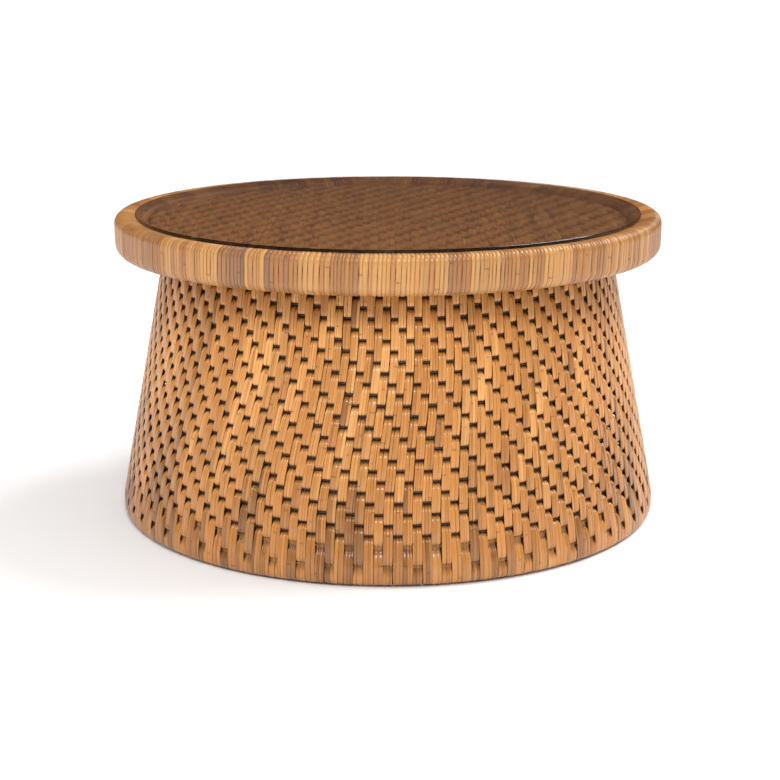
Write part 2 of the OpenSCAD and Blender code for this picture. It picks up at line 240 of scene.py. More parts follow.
def mesh_object(name, vertices, quads, caps, floats, fibres):
    """An object from arrays of vertices, four-sided faces and flat end faces."""
    mesh = bpy.data.meshes.new(name)
    mesh.vertices.add(len(vertices))
    mesh.vertices.foreach_set("co", vertices.astype(np.float32).ravel())
    mesh.loops.add(quads.size + caps.size)
    loops = np.concatenate([quads.ravel(), caps.ravel()]).astype(np.int32)
    mesh.loops.foreach_set("vertex_index", loops)
    starts = np.concatenate(
        [np.arange(len(quads)) * 4, quads.size + np.arange(len(caps)) * caps.shape[1]]
    )
    mesh.polygons.add(len(starts))
    mesh.polygons.foreach_set("loop_start", starts.astype(np.int32))
    smooth = np.arange(len(starts)) < len(quads)
    mesh.polygons.foreach_set("use_smooth", smooth)
    for label, values in floats.items():
        attribute = mesh.attributes.new(label, "FLOAT", "POINT")
        attribute.data.foreach_set("value", values.astype(np.float32))
    attribute = mesh.attributes.new("fibre", "FLOAT_VECTOR", "POINT")
    attribute.data.foreach_set("vector", fibres.astype(np.float32).ravel())
    mesh.update(calc_edges=True)
    if mesh.validate():
        raise RuntimeError(f"the mesh of {name} has faulty faces")
    made = bpy.data.objects.new(name, mesh)
    bpy.context.scene.collection.objects.link(made)
    return made


def place(piece, finish, slot, *nodes):
    """Gives a piece its finish and hands it to the table in place of CAD nodes."""
    piece.data.materials.append(finish)
    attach(piece, TABLE)
    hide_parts(*nodes)


# --- Settings ------------------------------------------------------------------------


def length(label, text, value):
    return FloatProperty(name=label, description=text, default=value, unit="LENGTH")


def share_of(label, text, value):
    return FloatProperty(name=label, description=text, default=value, subtype="FACTOR")


def colour_of(label, text, value):
    return FloatVectorProperty(
        name=label, description=text, default=value, subtype="COLOR", size=3, min=0.0, max=1.0
    )


class RimSettings(bpy.types.PropertyGroup):
    wraps: IntProperty(
        name="Wraps", description="Turns of cane round the rim", default=420, min=60
    )
    thickness: length("Cane thickness", "Thickness of the binding cane", 1.15 * MM)
    skew: share_of("Skew", "Sideways drift of a turn over its outer face, in turns", 0.45)


class WeaveSettings(bpy.types.PropertyGroup):
    stakes: IntProperty(
        name="Stakes", description="Upright stakes round the drum, in threes", default=192
    )
    thickness: length("Peel thickness", "Thickness of one strip of peel", 1.6 * MM)
    dip: length("Dip", "Depth of a strip's outer face where it passes behind a weft", 6.8 * MM)
    lap: length("Lap", "Depth of a strip's outer face where a float begins and ends", 1.8 * MM)
    lean: share_of("Lean", "Most sideways drift of the stakes for each unit of height", 0.2)
    stake_gap: length("Stake gap", "Gap between neighbouring stakes", 0.3 * MM)


class MatSettings(bpy.types.PropertyGroup):
    strip_pitch: length(
        "Strip pitch", "Distance between neighbouring strips of the mat", 3.8 * MM
    )
    weft_pitch: length(
        "Weft pitch", "Distance between the hidden wefts of the mat", 21.7 * MM
    )
    thickness: length("Strip thickness", "Thickness of one strip of the mat", 1.0 * MM)


class FinishSettings(bpy.types.PropertyGroup):
    peel_light: colour_of("Peel, light", "Lightest tone of the drum's peel", (0.8, 0.395, 0.125))
    peel_middle: colour_of(
        "Peel, middle", "Commonest tone of the drum's peel", (0.57, 0.238, 0.056)
    )
    peel_dark: colour_of("Peel, dark", "Darkest tone of the drum's peel", (0.26, 0.105, 0.027))
    binding_light: colour_of(
        "Binding, light", "Lightest tone of the rim's binding", (0.58, 0.285, 0.086)
    )
    binding_middle: colour_of(
        "Binding, middle", "Commonest tone of the rim's binding", (0.4, 0.162, 0.043)
    )
    binding_dark: colour_of(
        "Binding, dark", "Darkest tone of the rim's binding", (0.23, 0.12, 0.065)
    )
    mat_light: colour_of("Mat, light", "Lightest tone of the mat", (0.78, 0.41, 0.145))
    mat_middle: colour_of("Mat, middle", "Commonest tone of the mat", (0.62, 0.285, 0.088))
    mat_dark: colour_of("Mat, dark", "Darkest tone of the mat", (0.34, 0.155, 0.052))
    glass_tint: colour_of("Glass tint", "Colour of light through the glass", (0.83, 0.77, 0.72))
    glass_edge: colour_of("Glass edge", "Colour of the glass's ground edge", (0.32, 0.45, 0.32))


class StageSettings(bpy.types.PropertyGroup):
    camera_distance: length(
        "Camera distance", "Level distance from the table's axis to the camera", 2.503
    )
    camera_height: length("Camera height", "Height of the camera above the floor", 0.806)
    camera_pitch: FloatProperty(
        name="Camera pitch",
        description="Angle of the camera below the horizon",
        default=math.radians(14.31),
        subtype="ANGLE",
    )
    lens: FloatProperty(
        name="Lens", description="Focal length in millimetres", default=78.63, subtype="NONE"
    )
    shift: share_of("Shift", "Sideways shift of the picture, as a share of its width", 0.0026)


class TableSettings(bpy.types.PropertyGroup):
    rim: PointerProperty(type=RimSettings, name="Rim", description="The bound rim")
    weave: PointerProperty(type=WeaveSettings, name="Weave", description="The woven drum")
    mat: PointerProperty(type=MatSettings, name="Mat", description="The mat under the glass")
    finish: PointerProperty(type=FinishSettings, name="Finish", description="Colours")
    stage: PointerProperty(type=StageSettings, name="Stage", description="Camera and light")


# Colours that every cane shares: its warm and cool extremes, dark fibres, and the near-black
# painted shade of its recesses
WARM_CANE, COOL_CANE = (1.05, 0.99, 0.86), (0.93, 0.98, 1.05)
WORN_CANE, GRIME = (0.16, 0.085, 0.045), (0.022, 0.011, 0.006)


# --- Node helpers --------------------------------------------------------------------


def add(tree, kind, inputs=None, **settings):
    """A new node. inputs maps a socket to a value or to the output that feeds it."""
    made = tree.nodes.new(kind)
    for key, value in settings.items():
        setattr(made, key, value)
    for key, value in (inputs or {}).items():
        if isinstance(value, bpy.types.NodeSocket):
            tree.links.new(value, made.inputs[key])
        else:
            made.inputs[key].default_value = value
    return made


def maths(tree, operation, first, second=0.0, third=0.0, clamp=False):
    inputs = {0: first, 1: second, 2: third}
    made = add(tree, "ShaderNodeMath", inputs, operation=operation, use_clamp=clamp)
    return made.outputs[0]


def mixed(tree, factor, first, second, blend="MIX"):
    """A mix of two colours."""
    made = add(tree, "ShaderNodeMix", data_type="RGBA", blend_type=blend)
    for key, value in ((0, factor), (6, first), (7, second)):
        if isinstance(value, bpy.types.NodeSocket):
            tree.links.new(value, made.inputs[key])
        elif key == 0:
            made.inputs[key].default_value = value
        else:
            made.inputs[key].default_value = (*value[:3], 1.0)
    return made.outputs[2]


def remapped(tree, value, low, high, to_low=0.0, to_high=1.0):
    """value taken from low..high to to_low..to_high, smoothly and clamped."""
    inputs = {"Value": value, "From Min": low, "From Max": high}
    inputs.update({"To Min": to_low, "To Max": to_high})
    made = add(tree, "ShaderNodeMapRange", inputs, interpolation_type="SMOOTHSTEP")
    return made.outputs["Result"]


def noise(tree, vector, scale, detail=2.0, roughness=0.5):
    inputs = {"Vector": vector, "Scale": scale, "Detail": detail, "Roughness": roughness}
    return add(tree, "ShaderNodeTexNoise", inputs).outputs["Fac"]


def stretched(tree, vector, scale):
    inputs = {"Vector": vector, "Scale": scale}
    return add(tree, "ShaderNodeMapping", inputs, vector_type="POINT").outputs["Vector"]


FLOAT = "NodeSocketFloat"
COLOUR = "NodeSocketColor"
VECTOR = "NodeSocketVector"


def new_group(name, inputs, outputs):
    """An empty node group, with its input and output nodes."""
    tree = bpy.data.node_groups.new(name, "ShaderNodeTree")
    for label, kind, value in inputs:
        socket = tree.interface.new_socket(label, in_out="INPUT", socket_type=kind)
        if value is not None:
            socket.default_value = value
    for label, kind in outputs:
        tree.interface.new_socket(label, in_out="OUTPUT", socket_type=kind)
    entry = tree.nodes.new("NodeGroupInput")
    leave = tree.nodes.new("NodeGroupOutput")
    return tree, entry.outputs, leave.inputs


def feed(tree, outputs, **sources):
    for label, source in sources.items():
        tree.links.new(source, outputs[label])


def cane_grain_group():
    """Fibre streaks, dark specks and the ring scars of a split cane.

    Fibre is (across, along, which cane) in metres.
    """
    inputs = [("Fibre", VECTOR, None), ("Streaks", FLOAT, 0.5), ("Specks", FLOAT, 0.5)]
    outputs = [("Shade", FLOAT), ("Height", FLOAT), ("Scar", FLOAT)]
    tree, given, made = new_group("cane grain", inputs, outputs)
    fine = noise(tree, stretched(tree, given["Fibre"], (1250, 30, 19)), 1.0, 3.0, 0.6)
    broad = noise(tree, stretched(tree, given["Fibre"], (420, 9, 13)), 1.0, 2.0)
    blotch = noise(tree, stretched(tree, given["Fibre"], (700, 210, 23)), 1.0, 3.0, 0.65)
    streak = maths(tree, "MULTIPLY_ADD", fine, 0.55, maths(tree, "MULTIPLY", broad, 0.45))
    streak = remapped(tree, streak, 0.33, 0.67)
    dark_streak = maths(
        tree, "MULTIPLY", maths(tree, "SUBTRACT", 1.0, streak), given["Streaks"]
    )
    speck = maths(tree, "MULTIPLY", remapped(tree, blotch, 0.62, 0.74), given["Specks"])
    parts = add(tree, "ShaderNodeSeparateXYZ", {0: given["Fibre"]}).outputs
    start = maths(tree, "MULTIPLY", parts[2], 1.7)
    place_along = maths(tree, "MULTIPLY_ADD", parts[1], 3.4, start)
    wander = maths(tree, "MULTIPLY_ADD", blotch, 0.012, place_along)
    centred = maths(tree, "SUBTRACT", maths(tree, "FRACT", wander), 0.5)
    from_scar = maths(tree, "ABSOLUTE", centred)
    scar = remapped(tree, from_scar, 0.006, 0.001, 0.0, 1.0)
    lost = maths(tree, "MAXIMUM", maths(tree, "MULTIPLY", dark_streak, 0.45), speck)
    shade = maths(tree, "SUBTRACT", 1.0, maths(tree, "MULTIPLY_ADD", scar, 0.55, lost), clamp=True)
    height = maths(tree, "MULTIPLY_ADD", scar, 0.7, streak)
    feed(tree, made, Shade=shade, Height=height, Scar=scar)
    return tree


def cane_tone_group():
    """The colour of a cane from its tone, with painted shade where it lies deep in the weave."""
    inputs = [
        ("Tone", FLOAT, 0.5),
        ("Depth", FLOAT, 0.0),
        ("Shade", FLOAT, 1.0),
        ("Cane", FLOAT, 0.0),
        ("Light", COLOUR, (0.7, 0.4, 0.2, 1.0)),
        ("Middle", COLOUR, (0.5, 0.3, 0.1, 1.0)),
        ("Dark", COLOUR, (0.2, 0.1, 0.05, 1.0)),
        ("Grime", FLOAT, 0.8),
    ]
    tree, given, made = new_group("cane tone", inputs, [("Colour", COLOUR)])
    low = remapped(tree, given["Tone"], 0.0, 0.5)
    high = remapped(tree, given["Tone"], 0.5, 1.0)
    colour = mixed(tree, low, given["Dark"], given["Middle"])
    colour = mixed(tree, high, colour, given["Light"])
    inputs = {"W": given["Cane"]}
    cane = add(tree, "ShaderNodeTexWhiteNoise", inputs, noise_dimensions="1D").outputs["Value"]
    warmth = mixed(tree, cane, COOL_CANE, WARM_CANE)
    colour = mixed(tree, 1.0, colour, warmth, "MULTIPLY")
    worn = mixed(tree, given["Shade"], WORN_CANE, (1.0, 1.0, 1.0))
    colour = mixed(tree, 0.8, colour, worn, "MULTIPLY")
    # Painted shade: mixes the colour towards near-black where the cane lies deep in the weave
    grimy = maths(tree, "MULTIPLY", given["Depth"], given["Grime"], clamp=True)
    colour = mixed(tree, grimy, colour, GRIME)
    feed(tree, made, Colour=colour)
    return tree


def round_the_axis_group():
    """Coordinates that run round the table's axis: (round, out, up) in metres."""
    inputs = [("Vector", VECTOR, None), ("Radius", FLOAT, 0.35)]
    tree, given, made = new_group("round the axis", inputs, [("Vector", VECTOR)])
    parts = add(tree, "ShaderNodeSeparateXYZ", {0: given["Vector"]}).outputs
    angle = maths(tree, "ARCTAN2", parts[1], parts[0])
    run = maths(tree, "MULTIPLY", angle, given["Radius"])
    y_squared = maths(tree, "MULTIPLY", parts[1], parts[1])
    out = maths(tree, "SQRT", maths(tree, "MULTIPLY_ADD", parts[0], parts[0], y_squared))
    joined = add(tree, "ShaderNodeCombineXYZ", {0: run, 1: out, 2: parts[2]}).outputs[0]
    feed(tree, made, Vector=joined)
    return tree


def pole_grain_group():
    """Grain of a skinned rattan pole, whose first coordinate runs along it, with the pale
    swollen ring of each node."""
    inputs = [("Vector", VECTOR, None), ("Spacing", FLOAT, 0.24), ("Offset", FLOAT, 0.0)]
    outputs = [("Shade", FLOAT), ("Height", FLOAT), ("Node", FLOAT)]
    tree, given, made = new_group("pole grain", inputs, outputs)
    fine = noise(tree, stretched(tree, given["Vector"], (16, 900, 900)), 1.0, 3.0, 0.6)
    pores = noise(tree, stretched(tree, given["Vector"], (160, 1500, 1500)), 1.0, 2.0)
    patch = noise(tree, stretched(tree, given["Vector"], (9, 30, 30)), 1.0, 2.0)
    parts = add(tree, "ShaderNodeSeparateXYZ", {0: given["Vector"]}).outputs
    turns = maths(tree, "DIVIDE", parts[0], given["Spacing"])
    wander = maths(tree, "MULTIPLY_ADD", patch, 0.05, turns)
    turn = maths(tree, "FRACT", maths(tree, "ADD", wander, given["Offset"]))
    from_node = maths(tree, "ABSOLUTE", maths(tree, "SUBTRACT", turn, 0.5))
    node = remapped(tree, from_node, 0.018, 0.0, 0.0, 1.0)
    from_rim = maths(tree, "ABSOLUTE", maths(tree, "SUBTRACT", from_node, 0.011))
    rim = remapped(tree, from_rim, 0.005, 0.0)
    shade = maths(tree, "MULTIPLY_ADD", fine, 0.5, maths(tree, "MULTIPLY", patch, 0.5))
    shadow = maths(tree, "MULTIPLY", rim, 0.6)
    shade = maths(tree, "SUBTRACT", remapped(tree, shade, 0.3, 0.7), shadow, clamp=True)
    grain = maths(tree, "MULTIPLY_ADD", pores, 0.3, maths(tree, "MULTIPLY", fine, 0.3))
    feed(tree, made, Shade=shade, Height=maths(tree, "ADD", grain, node), Node=node)
    return tree


def metal_wear_group():
    """Dull patches and fine scratches of plated metal."""
    inputs = [("Vector", VECTOR, None), ("Dulling", FLOAT, 0.5)]
    outputs = [("Dull", FLOAT), ("Height", FLOAT)]
    tree, given, made = new_group("metal wear", inputs, outputs)
    patch = remapped(tree, noise(tree, given["Vector"], 130.0, 3.0, 0.6), 0.4, 0.68)
    scratch = noise(tree, stretched(tree, given["Vector"], (300, 2600, 900)), 1.0, 2.0)
    dull = maths(tree, "MULTIPLY", patch, given["Dulling"])
    feed(tree, made, Dull=dull, Height=scratch)
    return tree


def shared_groups():
    """The node groups that several finishes use, by name, made once."""
    makers = {
        "cane grain": cane_grain_group,
        "cane tone": cane_tone_group,
        "round the axis": round_the_axis_group,
        "pole grain": pole_grain_group,
        "metal wear": metal_wear_group,
    }
    for name, make in makers.items():
        if name not in bpy.data.node_groups:
            make()
    return bpy.data.node_groups


def placed_group(tree, name, inputs):
    return add(tree, "ShaderNodeGroup", inputs, node_tree=shared_groups()[name]).outputs


def new_finish(name):
    """A material with only its output and a Principled shader, and that shader."""
    material = bpy.data.materials.new(name)
    material.use_nodes = True
    tree = material.node_tree
    tree.nodes.clear()
    shader = tree.nodes.new("ShaderNodeBsdfPrincipled")
    output = tree.nodes.new("ShaderNodeOutputMaterial")
    tree.links.new(shader.outputs["BSDF"], output.inputs["Surface"])
    return material, tree, shader


def bump(tree, shader, height, strength, distance):
    inputs = {"Height": height, "Strength": strength, "Distance": distance}
    made = add(tree, "ShaderNodeBump", inputs)
    tree.links.new(made.outputs["Normal"], shader.inputs["Normal"])


# --- Finishes ------------------------------------------------------------------------


def tones_of(colours, kind):
    """The light, middle and dark colour settings of a kind of cane."""
    return [getattr(colours, f"{kind}_{tone}") for tone in ("light", "middle", "dark")]


def cane_finish(name, tones, gloss, streaks, specks, grime):
    """Split cane: toned fibre with a satin skin. gloss is from 0, dull, to 1."""
    material, tree, shader = new_finish(name)
    fibre = add(tree, "ShaderNodeAttribute", attribute_name="fibre").outputs["Vector"]
    tone = add(tree, "ShaderNodeAttribute", attribute_name="tone").outputs["Fac"]
    depth = add(tree, "ShaderNodeAttribute", attribute_name="depth").outputs["Fac"]
    inputs = {"Fibre": fibre, "Streaks": streaks, "Specks": specks}
    grain = placed_group(tree, "cane grain", inputs)
    cane = add(tree, "ShaderNodeSeparateXYZ", {0: fibre}).outputs[2]
    # The last input sets how strongly painted shade darkens the cane where it lies deep in the
    # weave
    inputs = {"Tone": tone, "Depth": depth, "Shade": grain["Shade"], "Cane": cane, "Grime": grime}
    inputs.update({key: (*tone, 1.0) for key, tone in zip(("Light", "Middle", "Dark"), tones)})
    colour = placed_group(tree, "cane tone", inputs)["Colour"]
    tree.links.new(colour, shader.inputs["Base Color"])
    rough = remapped(tree, grain["Shade"], 0.5, 1.0, 0.72 - 0.2 * gloss, 0.56 - 0.26 * gloss)
    tree.links.new(rough, shader.inputs["Roughness"])
    shader.inputs["Coat Weight"].default_value = 0.55 * gloss
    shader.inputs["Coat Roughness"].default_value = 0.17
    shader.inputs["Specular IOR Level"].default_value = 0.45
    bump(tree, shader, grain["Height"], 0.35, 0.25 * MM)
    return material


def pole_finish(name, light, dark, spacing, hoop_radius=None, turn=None):
    """Skinned rattan pole. A hoop's grain runs round the axis; a brace's along its turn."""
    material, tree, shader = new_finish(name)
    vector = add(tree, "ShaderNodeTexCoord").outputs["Object"]
    if hoop_radius is not None:
        inputs = {"Vector": vector, "Radius": hoop_radius}
        vector = placed_group(tree, "round the axis", inputs)["Vector"]
    else:
        inputs = {"Vector": vector, "Rotation": turn}
        turned = add(tree, "ShaderNodeMapping", inputs, vector_type="POINT")
        vector = turned.outputs["Vector"]
    grain = placed_group(tree, "pole grain", {"Vector": vector, "Spacing": spacing, "Offset": 0.3})
    colour = mixed(tree, grain["Shade"], dark, light)
    colour = mixed(tree, maths(tree, "MULTIPLY", grain["Node"], 0.45), colour, (0.72, 0.52, 0.3))
    tree.links.new(colour, shader.inputs["Base Color"])
    rough = remapped(tree, grain["Shade"], 0.0, 1.0, 0.66, 0.5)
    tree.links.new(rough, shader.inputs["Roughness"])
    bump(tree, shader, grain["Height"], 0.5, 0.8 * MM)
    return material


def plywood_finish():
    """Raw plywood: a figured face veneer, and thin crossed plies on the edge."""
    material, tree, shader = new_finish("raw plywood")
    vector = add(tree, "ShaderNodeTexCoord").outputs["Object"]
    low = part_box("top_board")[0]
    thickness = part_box("top_board")[1].z - low.z
    figure = noise(tree, stretched(tree, vector, (7, 90, 1)), 1.0, 4.0, 0.6)
    waves = add(
        tree,
        "ShaderNodeTexWave",
        {"Vector": stretched(tree, vector, (1, 6, 0)), "Scale": 3.0, "Distortion": 9.0},
        wave_type="BANDS",
        bands_direction="Y",
    ).outputs["Fac"]
    face = maths(tree, "MULTIPLY_ADD", waves, 0.4, maths(tree, "MULTIPLY", figure, 0.6))
    face = remapped(tree, face, 0.25, 0.75)
    veneer = mixed(tree, face, (0.42, 0.27, 0.13), (0.66, 0.49, 0.29))
    height = add(tree, "ShaderNodeSeparateXYZ", {0: vector}).outputs[2]
    plies = 5
    rise = maths(tree, "MULTIPLY", maths(tree, "SUBTRACT", height, low.z), plies / thickness)
    band = remapped(tree, maths(tree, "PINGPONG", rise, 1.0), 0.4, 0.6)
    edge = mixed(tree, band, (0.24, 0.14, 0.065), (0.6, 0.43, 0.24))
    normal = add(tree, "ShaderNodeNewGeometry").outputs["Normal"]
    facing = add(tree, "ShaderNodeSeparateXYZ", {0: normal}).outputs[2]
    flat = remapped(tree, maths(tree, "ABSOLUTE", facing), 0.4, 0.6)
    tree.links.new(mixed(tree, flat, edge, veneer), shader.inputs["Base Color"])
    tree.links.new(remapped(tree, figure, 0.3, 0.7, 0.82, 0.68), shader.inputs["Roughness"])
    bump(tree, shader, figure, 0.3, 0.3 * MM)
    return material


def metal_finish(name, bright, dull, roughness, dulling):
    material, tree, shader = new_finish(name)
    vector = add(tree, "ShaderNodeTexCoord").outputs["Object"]
    wear = placed_group(tree, "metal wear", {"Vector": vector, "Dulling": dulling})
    tree.links.new(mixed(tree, wear["Dull"], bright, dull), shader.inputs["Base Color"])
    rough = remapped(tree, wear["Dull"], 0.0, 1.0, roughness, roughness + 0.35)
    tree.links.new(rough, shader.inputs["Roughness"])
    shader.inputs["Metallic"].default_value = 1.0
    bump(tree, shader, wear["Height"], 0.2, 0.05 * MM)
    return material


def plastic_finish():
    """Black moulded glides, scuffed where they slide."""
    material, tree, shader = new_finish("moulded glide")
    vector = add(tree, "ShaderNodeTexCoord").outputs["Object"]
    pebble = noise(tree, vector, 2400.0, 2.0)
    scuff = noise(tree, stretched(tree, vector, (260, 90, 60)), 1.0, 3.0, 0.7)
    scuff = remapped(tree, scuff, 0.5, 0.75)
    black, worn = (0.012, 0.012, 0.013), (0.07, 0.068, 0.062)
    tree.links.new(mixed(tree, scuff, black, worn), shader.inputs["Base Color"])
    tree.links.new(remapped(tree, scuff, 0.0, 1.0, 0.42, 0.75), shader.inputs["Roughness"])
    bump(tree, shader, pebble, 0.25, 0.1 * MM)
    return material


def pad_finish():
    """Clear soft pads, slightly clouded."""
    material, tree, shader = new_finish("clear pad")
    vector = add(tree, "ShaderNodeTexCoord").outputs["Object"]
    cloud = noise(tree, vector, 320.0, 2.0)
    tree.links.new(
        mixed(tree, remapped(tree, cloud, 0.3, 0.7), (0.78, 0.66, 0.5), (0.86, 0.76, 0.62)),
        shader.inputs["Base Color"],
    )
    tree.links.new(remapped(tree, cloud, 0.3, 0.7, 0.03, 0.08), shader.inputs["Roughness"])
    shader.inputs["Transmission Weight"].default_value = 0.75
    shader.inputs["IOR"].default_value = 1.45
    return material


def glass_finish(tint, edge):
    """Clear float glass with a green ground edge. Light reaches what lies under it."""
    material, tree, shader = new_finish("float glass")
    normal = add(tree, "ShaderNodeNewGeometry").outputs["Normal"]
    facing = add(tree, "ShaderNodeSeparateXYZ", {0: normal}).outputs[2]
    flat = remapped(tree, maths(tree, "ABSOLUTE", facing), 0.9, 0.98)
    colour = mixed(tree, flat, edge, tint)
    tree.links.new(colour, shader.inputs["Base Color"])
    smear = noise(tree, add(tree, "ShaderNodeTexCoord").outputs["Object"], 9.0, 3.0, 0.6)
    smear = remapped(tree, smear, 0.45, 0.8, 0.0, 0.025)
    ground = maths(tree, "MULTIPLY", maths(tree, "SUBTRACT", 1.0, flat), 0.12)
    tree.links.new(maths(tree, "ADD", smear, ground), shader.inputs["Roughness"])
    shader.inputs["Transmission Weight"].default_value = 1.0
    shader.inputs["IOR"].default_value = 1.5
    clear = add(tree, "ShaderNodeBsdfTransparent", {"Color": (*tint, 1.0)})
    lamp = add(tree, "ShaderNodeLightPath").outputs["Is Shadow Ray"]
    both = add(
        tree,
        "ShaderNodeMixShader",
        {0: lamp, 1: shader.outputs["BSDF"], 2: clear.outputs["BSDF"]},
    )
    output = next(n for n in tree.nodes if n.type == "OUTPUT_MATERIAL")
    tree.links.new(both.outputs["Shader"], output.inputs["Surface"])
    return material


def floor_finish():
    material, tree, shader = new_finish("pale floor")
    vector = add(tree, "ShaderNodeTexCoord").outputs["Object"]
    cloud = noise(tree, vector, 3.0, 2.0)
    pale = mixed(tree, cloud, (0.9, 0.9, 0.9), (0.92, 0.92, 0.92))
    tree.links.new(pale, shader.inputs["Base Color"])
    shader.inputs["Roughness"].default_value = 0.8
    shader.inputs["Specular IOR Level"].default_value = 0.1
    return material


def paint(node, material):
    """Gives a CAD node its finish."""
    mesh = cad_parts[node].data
    mesh.materials.clear()
    mesh.materials.append(material)


# --- Rim binding ---------------------------------------------------------------------


RIM_TONE = 0.58                  # mean tone of the binding
RIM_RUN_SPREAD = 0.25            # spread of the tone from one run of alike turns to the next
RIM_TURN_SPREAD = 0.13           # and from one turn to its neighbour
LOOP_POINTS = 58                 # points round one turn
TURN_SHARES = (0.72, 1.28)       # widths of the turns, against their mean
TURN_STAND = (-0.18 * MM, 0.16 * MM)
TIGHT_TURNS = 0.85               # share of the turns that lie close to the next one
TIGHT_COVER, LOOSE_COVER = (0.93, 0.98), (0.82, 0.9)


def tone_runs(count, rng, shortest, longest):
    """Tones that stay alike for a run of neighbours and then jump, round a closed ring."""
    tones = []
    while len(tones) < count:
        run = int(rng.integers(shortest, longest + 1))
        base = np.clip(rng.normal(RIM_TONE, RIM_RUN_SPREAD), 0.04, 0.98)
        tones += list(base + rng.normal(0.0, RIM_TURN_SPREAD, run))
    return np.clip(np.array(tones[:count]), 0.0, 1.0)


def rim_wraps(settings):
    """Every turn of cane round the rim's four poles, as a closed band in its own plane."""
    rng = np.random.default_rng(RIM_SEED)
    outline = even_loop(hull(ring_points("rim_wrap")), LOOP_POINTS)
    following = np.roll(outline, -1, axis=0) - np.roll(outline, 1, axis=0)
    normals = unit(np.column_stack([following[:, 1], -following[:, 0]]))
    shares = rng.uniform(*TURN_SHARES, settings.wraps)
    shares *= 2 * math.pi / shares.sum()
    centres = np.cumsum(shares) - shares / 2
    tones = tone_runs(settings.wraps, rng, 1, 8)
    phase = 2 * math.pi * np.arange(LOOP_POINTS) / LOOP_POINTS
    side = np.cos(phase - phase[np.argmax(outline[:, 0])])
    up = np.gradient(outline[:, 1])
    drift = np.cumsum(np.where(side > 0, up, 0.0))
    drift = (drift - drift.mean()) / np.ptp(drift)
    drift -= np.linspace(0, drift[-1] - drift[0], LOOP_POINTS)
    made = []
    for angle, share, tone in zip(centres, shares, tones):
        stand = rng.uniform(*TURN_STAND)
        wobble = rng.normal(0.0, 0.02, 2)
        shift = settings.skew * share * drift + share * wobble[0] * np.sin(phase + wobble[1] * 60)
        inner = outline + normals * (stand - settings.thickness)
        turned = angle + shift
        line = polar(inner[:, 0], turned, inner[:, 1])
        facing = polar(normals[:, 0], turned, normals[:, 1])
        cover = rng.uniform(*(TIGHT_COVER if rng.random() < TIGHT_TURNS else LOOSE_COVER))
        width = outline[:, 0] * share * cover
        grain = tone + 0.05 * np.sin(phase + rng.uniform(0, 6))
        made.append(Strip(line, facing, width, settings.thickness, grain, closed=True))
    return made


class RATTAN_TABLE_OT_rim(bpy.types.Operator):
    """Bind the rim's four poles with split cane"""

    bl_idname = "rattan_table.rim"
    bl_label = "Bind the rim"
    bl_options = {"REGISTER", "UNDO"}

    def execute(self, context):
        settings = context.scene.rattan_table
        colours = settings.finish
        finish = cane_finish(
            "cane binding",
            tones_of(colours, "binding"),
            gloss=0.85, streaks=0.7, specks=0.9, grime=0.8,
        )
        wraps = rim_wraps(settings.rim)
        parts = 3
        for number in range(parts):
            first = len(wraps) * number // parts
            last = len(wraps) * (number + 1) // parts
            name = f"rim_binding_{number + 1}"
            piece = cane_piece(name, wraps[first:last], BINDING_SECTION)
            place(piece, finish, "cane_binding", "rim_wrap")
        return {"FINISHED"}


# --- Woven drum ----------------------------------------------------------------------


def smooth(value):
    value = np.clip(value, 0.0, 1.0)
    return value * value * (3 - 2 * value)


class Lean:
    """How the stakes drift sideways as they rise, which changes slowly round the drum."""

    START = 80 * MM
    END = 320 * MM
    MOST_AT = math.radians(-150)
    STEADY = 0.2           # share of the lean that is the same all round

    def __init__(self, most):
        self.mean = most * self.STEADY
        self.swing = most * (1 - self.STEADY)

    def climb(self, height):
        """Height that counts towards the lean, which is full only half-way up."""
        reach = self.END - self.START
        return reach / 1.5 * smooth((np.asarray(height) - self.START) / reach)

    def shift(self, angle, height, radius):
        """Turn about the axis, in radians, that the lean gives a stake at a height."""
        drift = self.mean + self.swing * np.cos(angle - self.MOST_AT)
        return drift * self.climb(height) / radius

    def spread(self, angle, height, radius):
        """Spacing of the stakes there, against even spacing."""
        change = -self.swing * np.sin(angle - self.MOST_AT)
        return 1.0 + change * self.climb(height) / radius


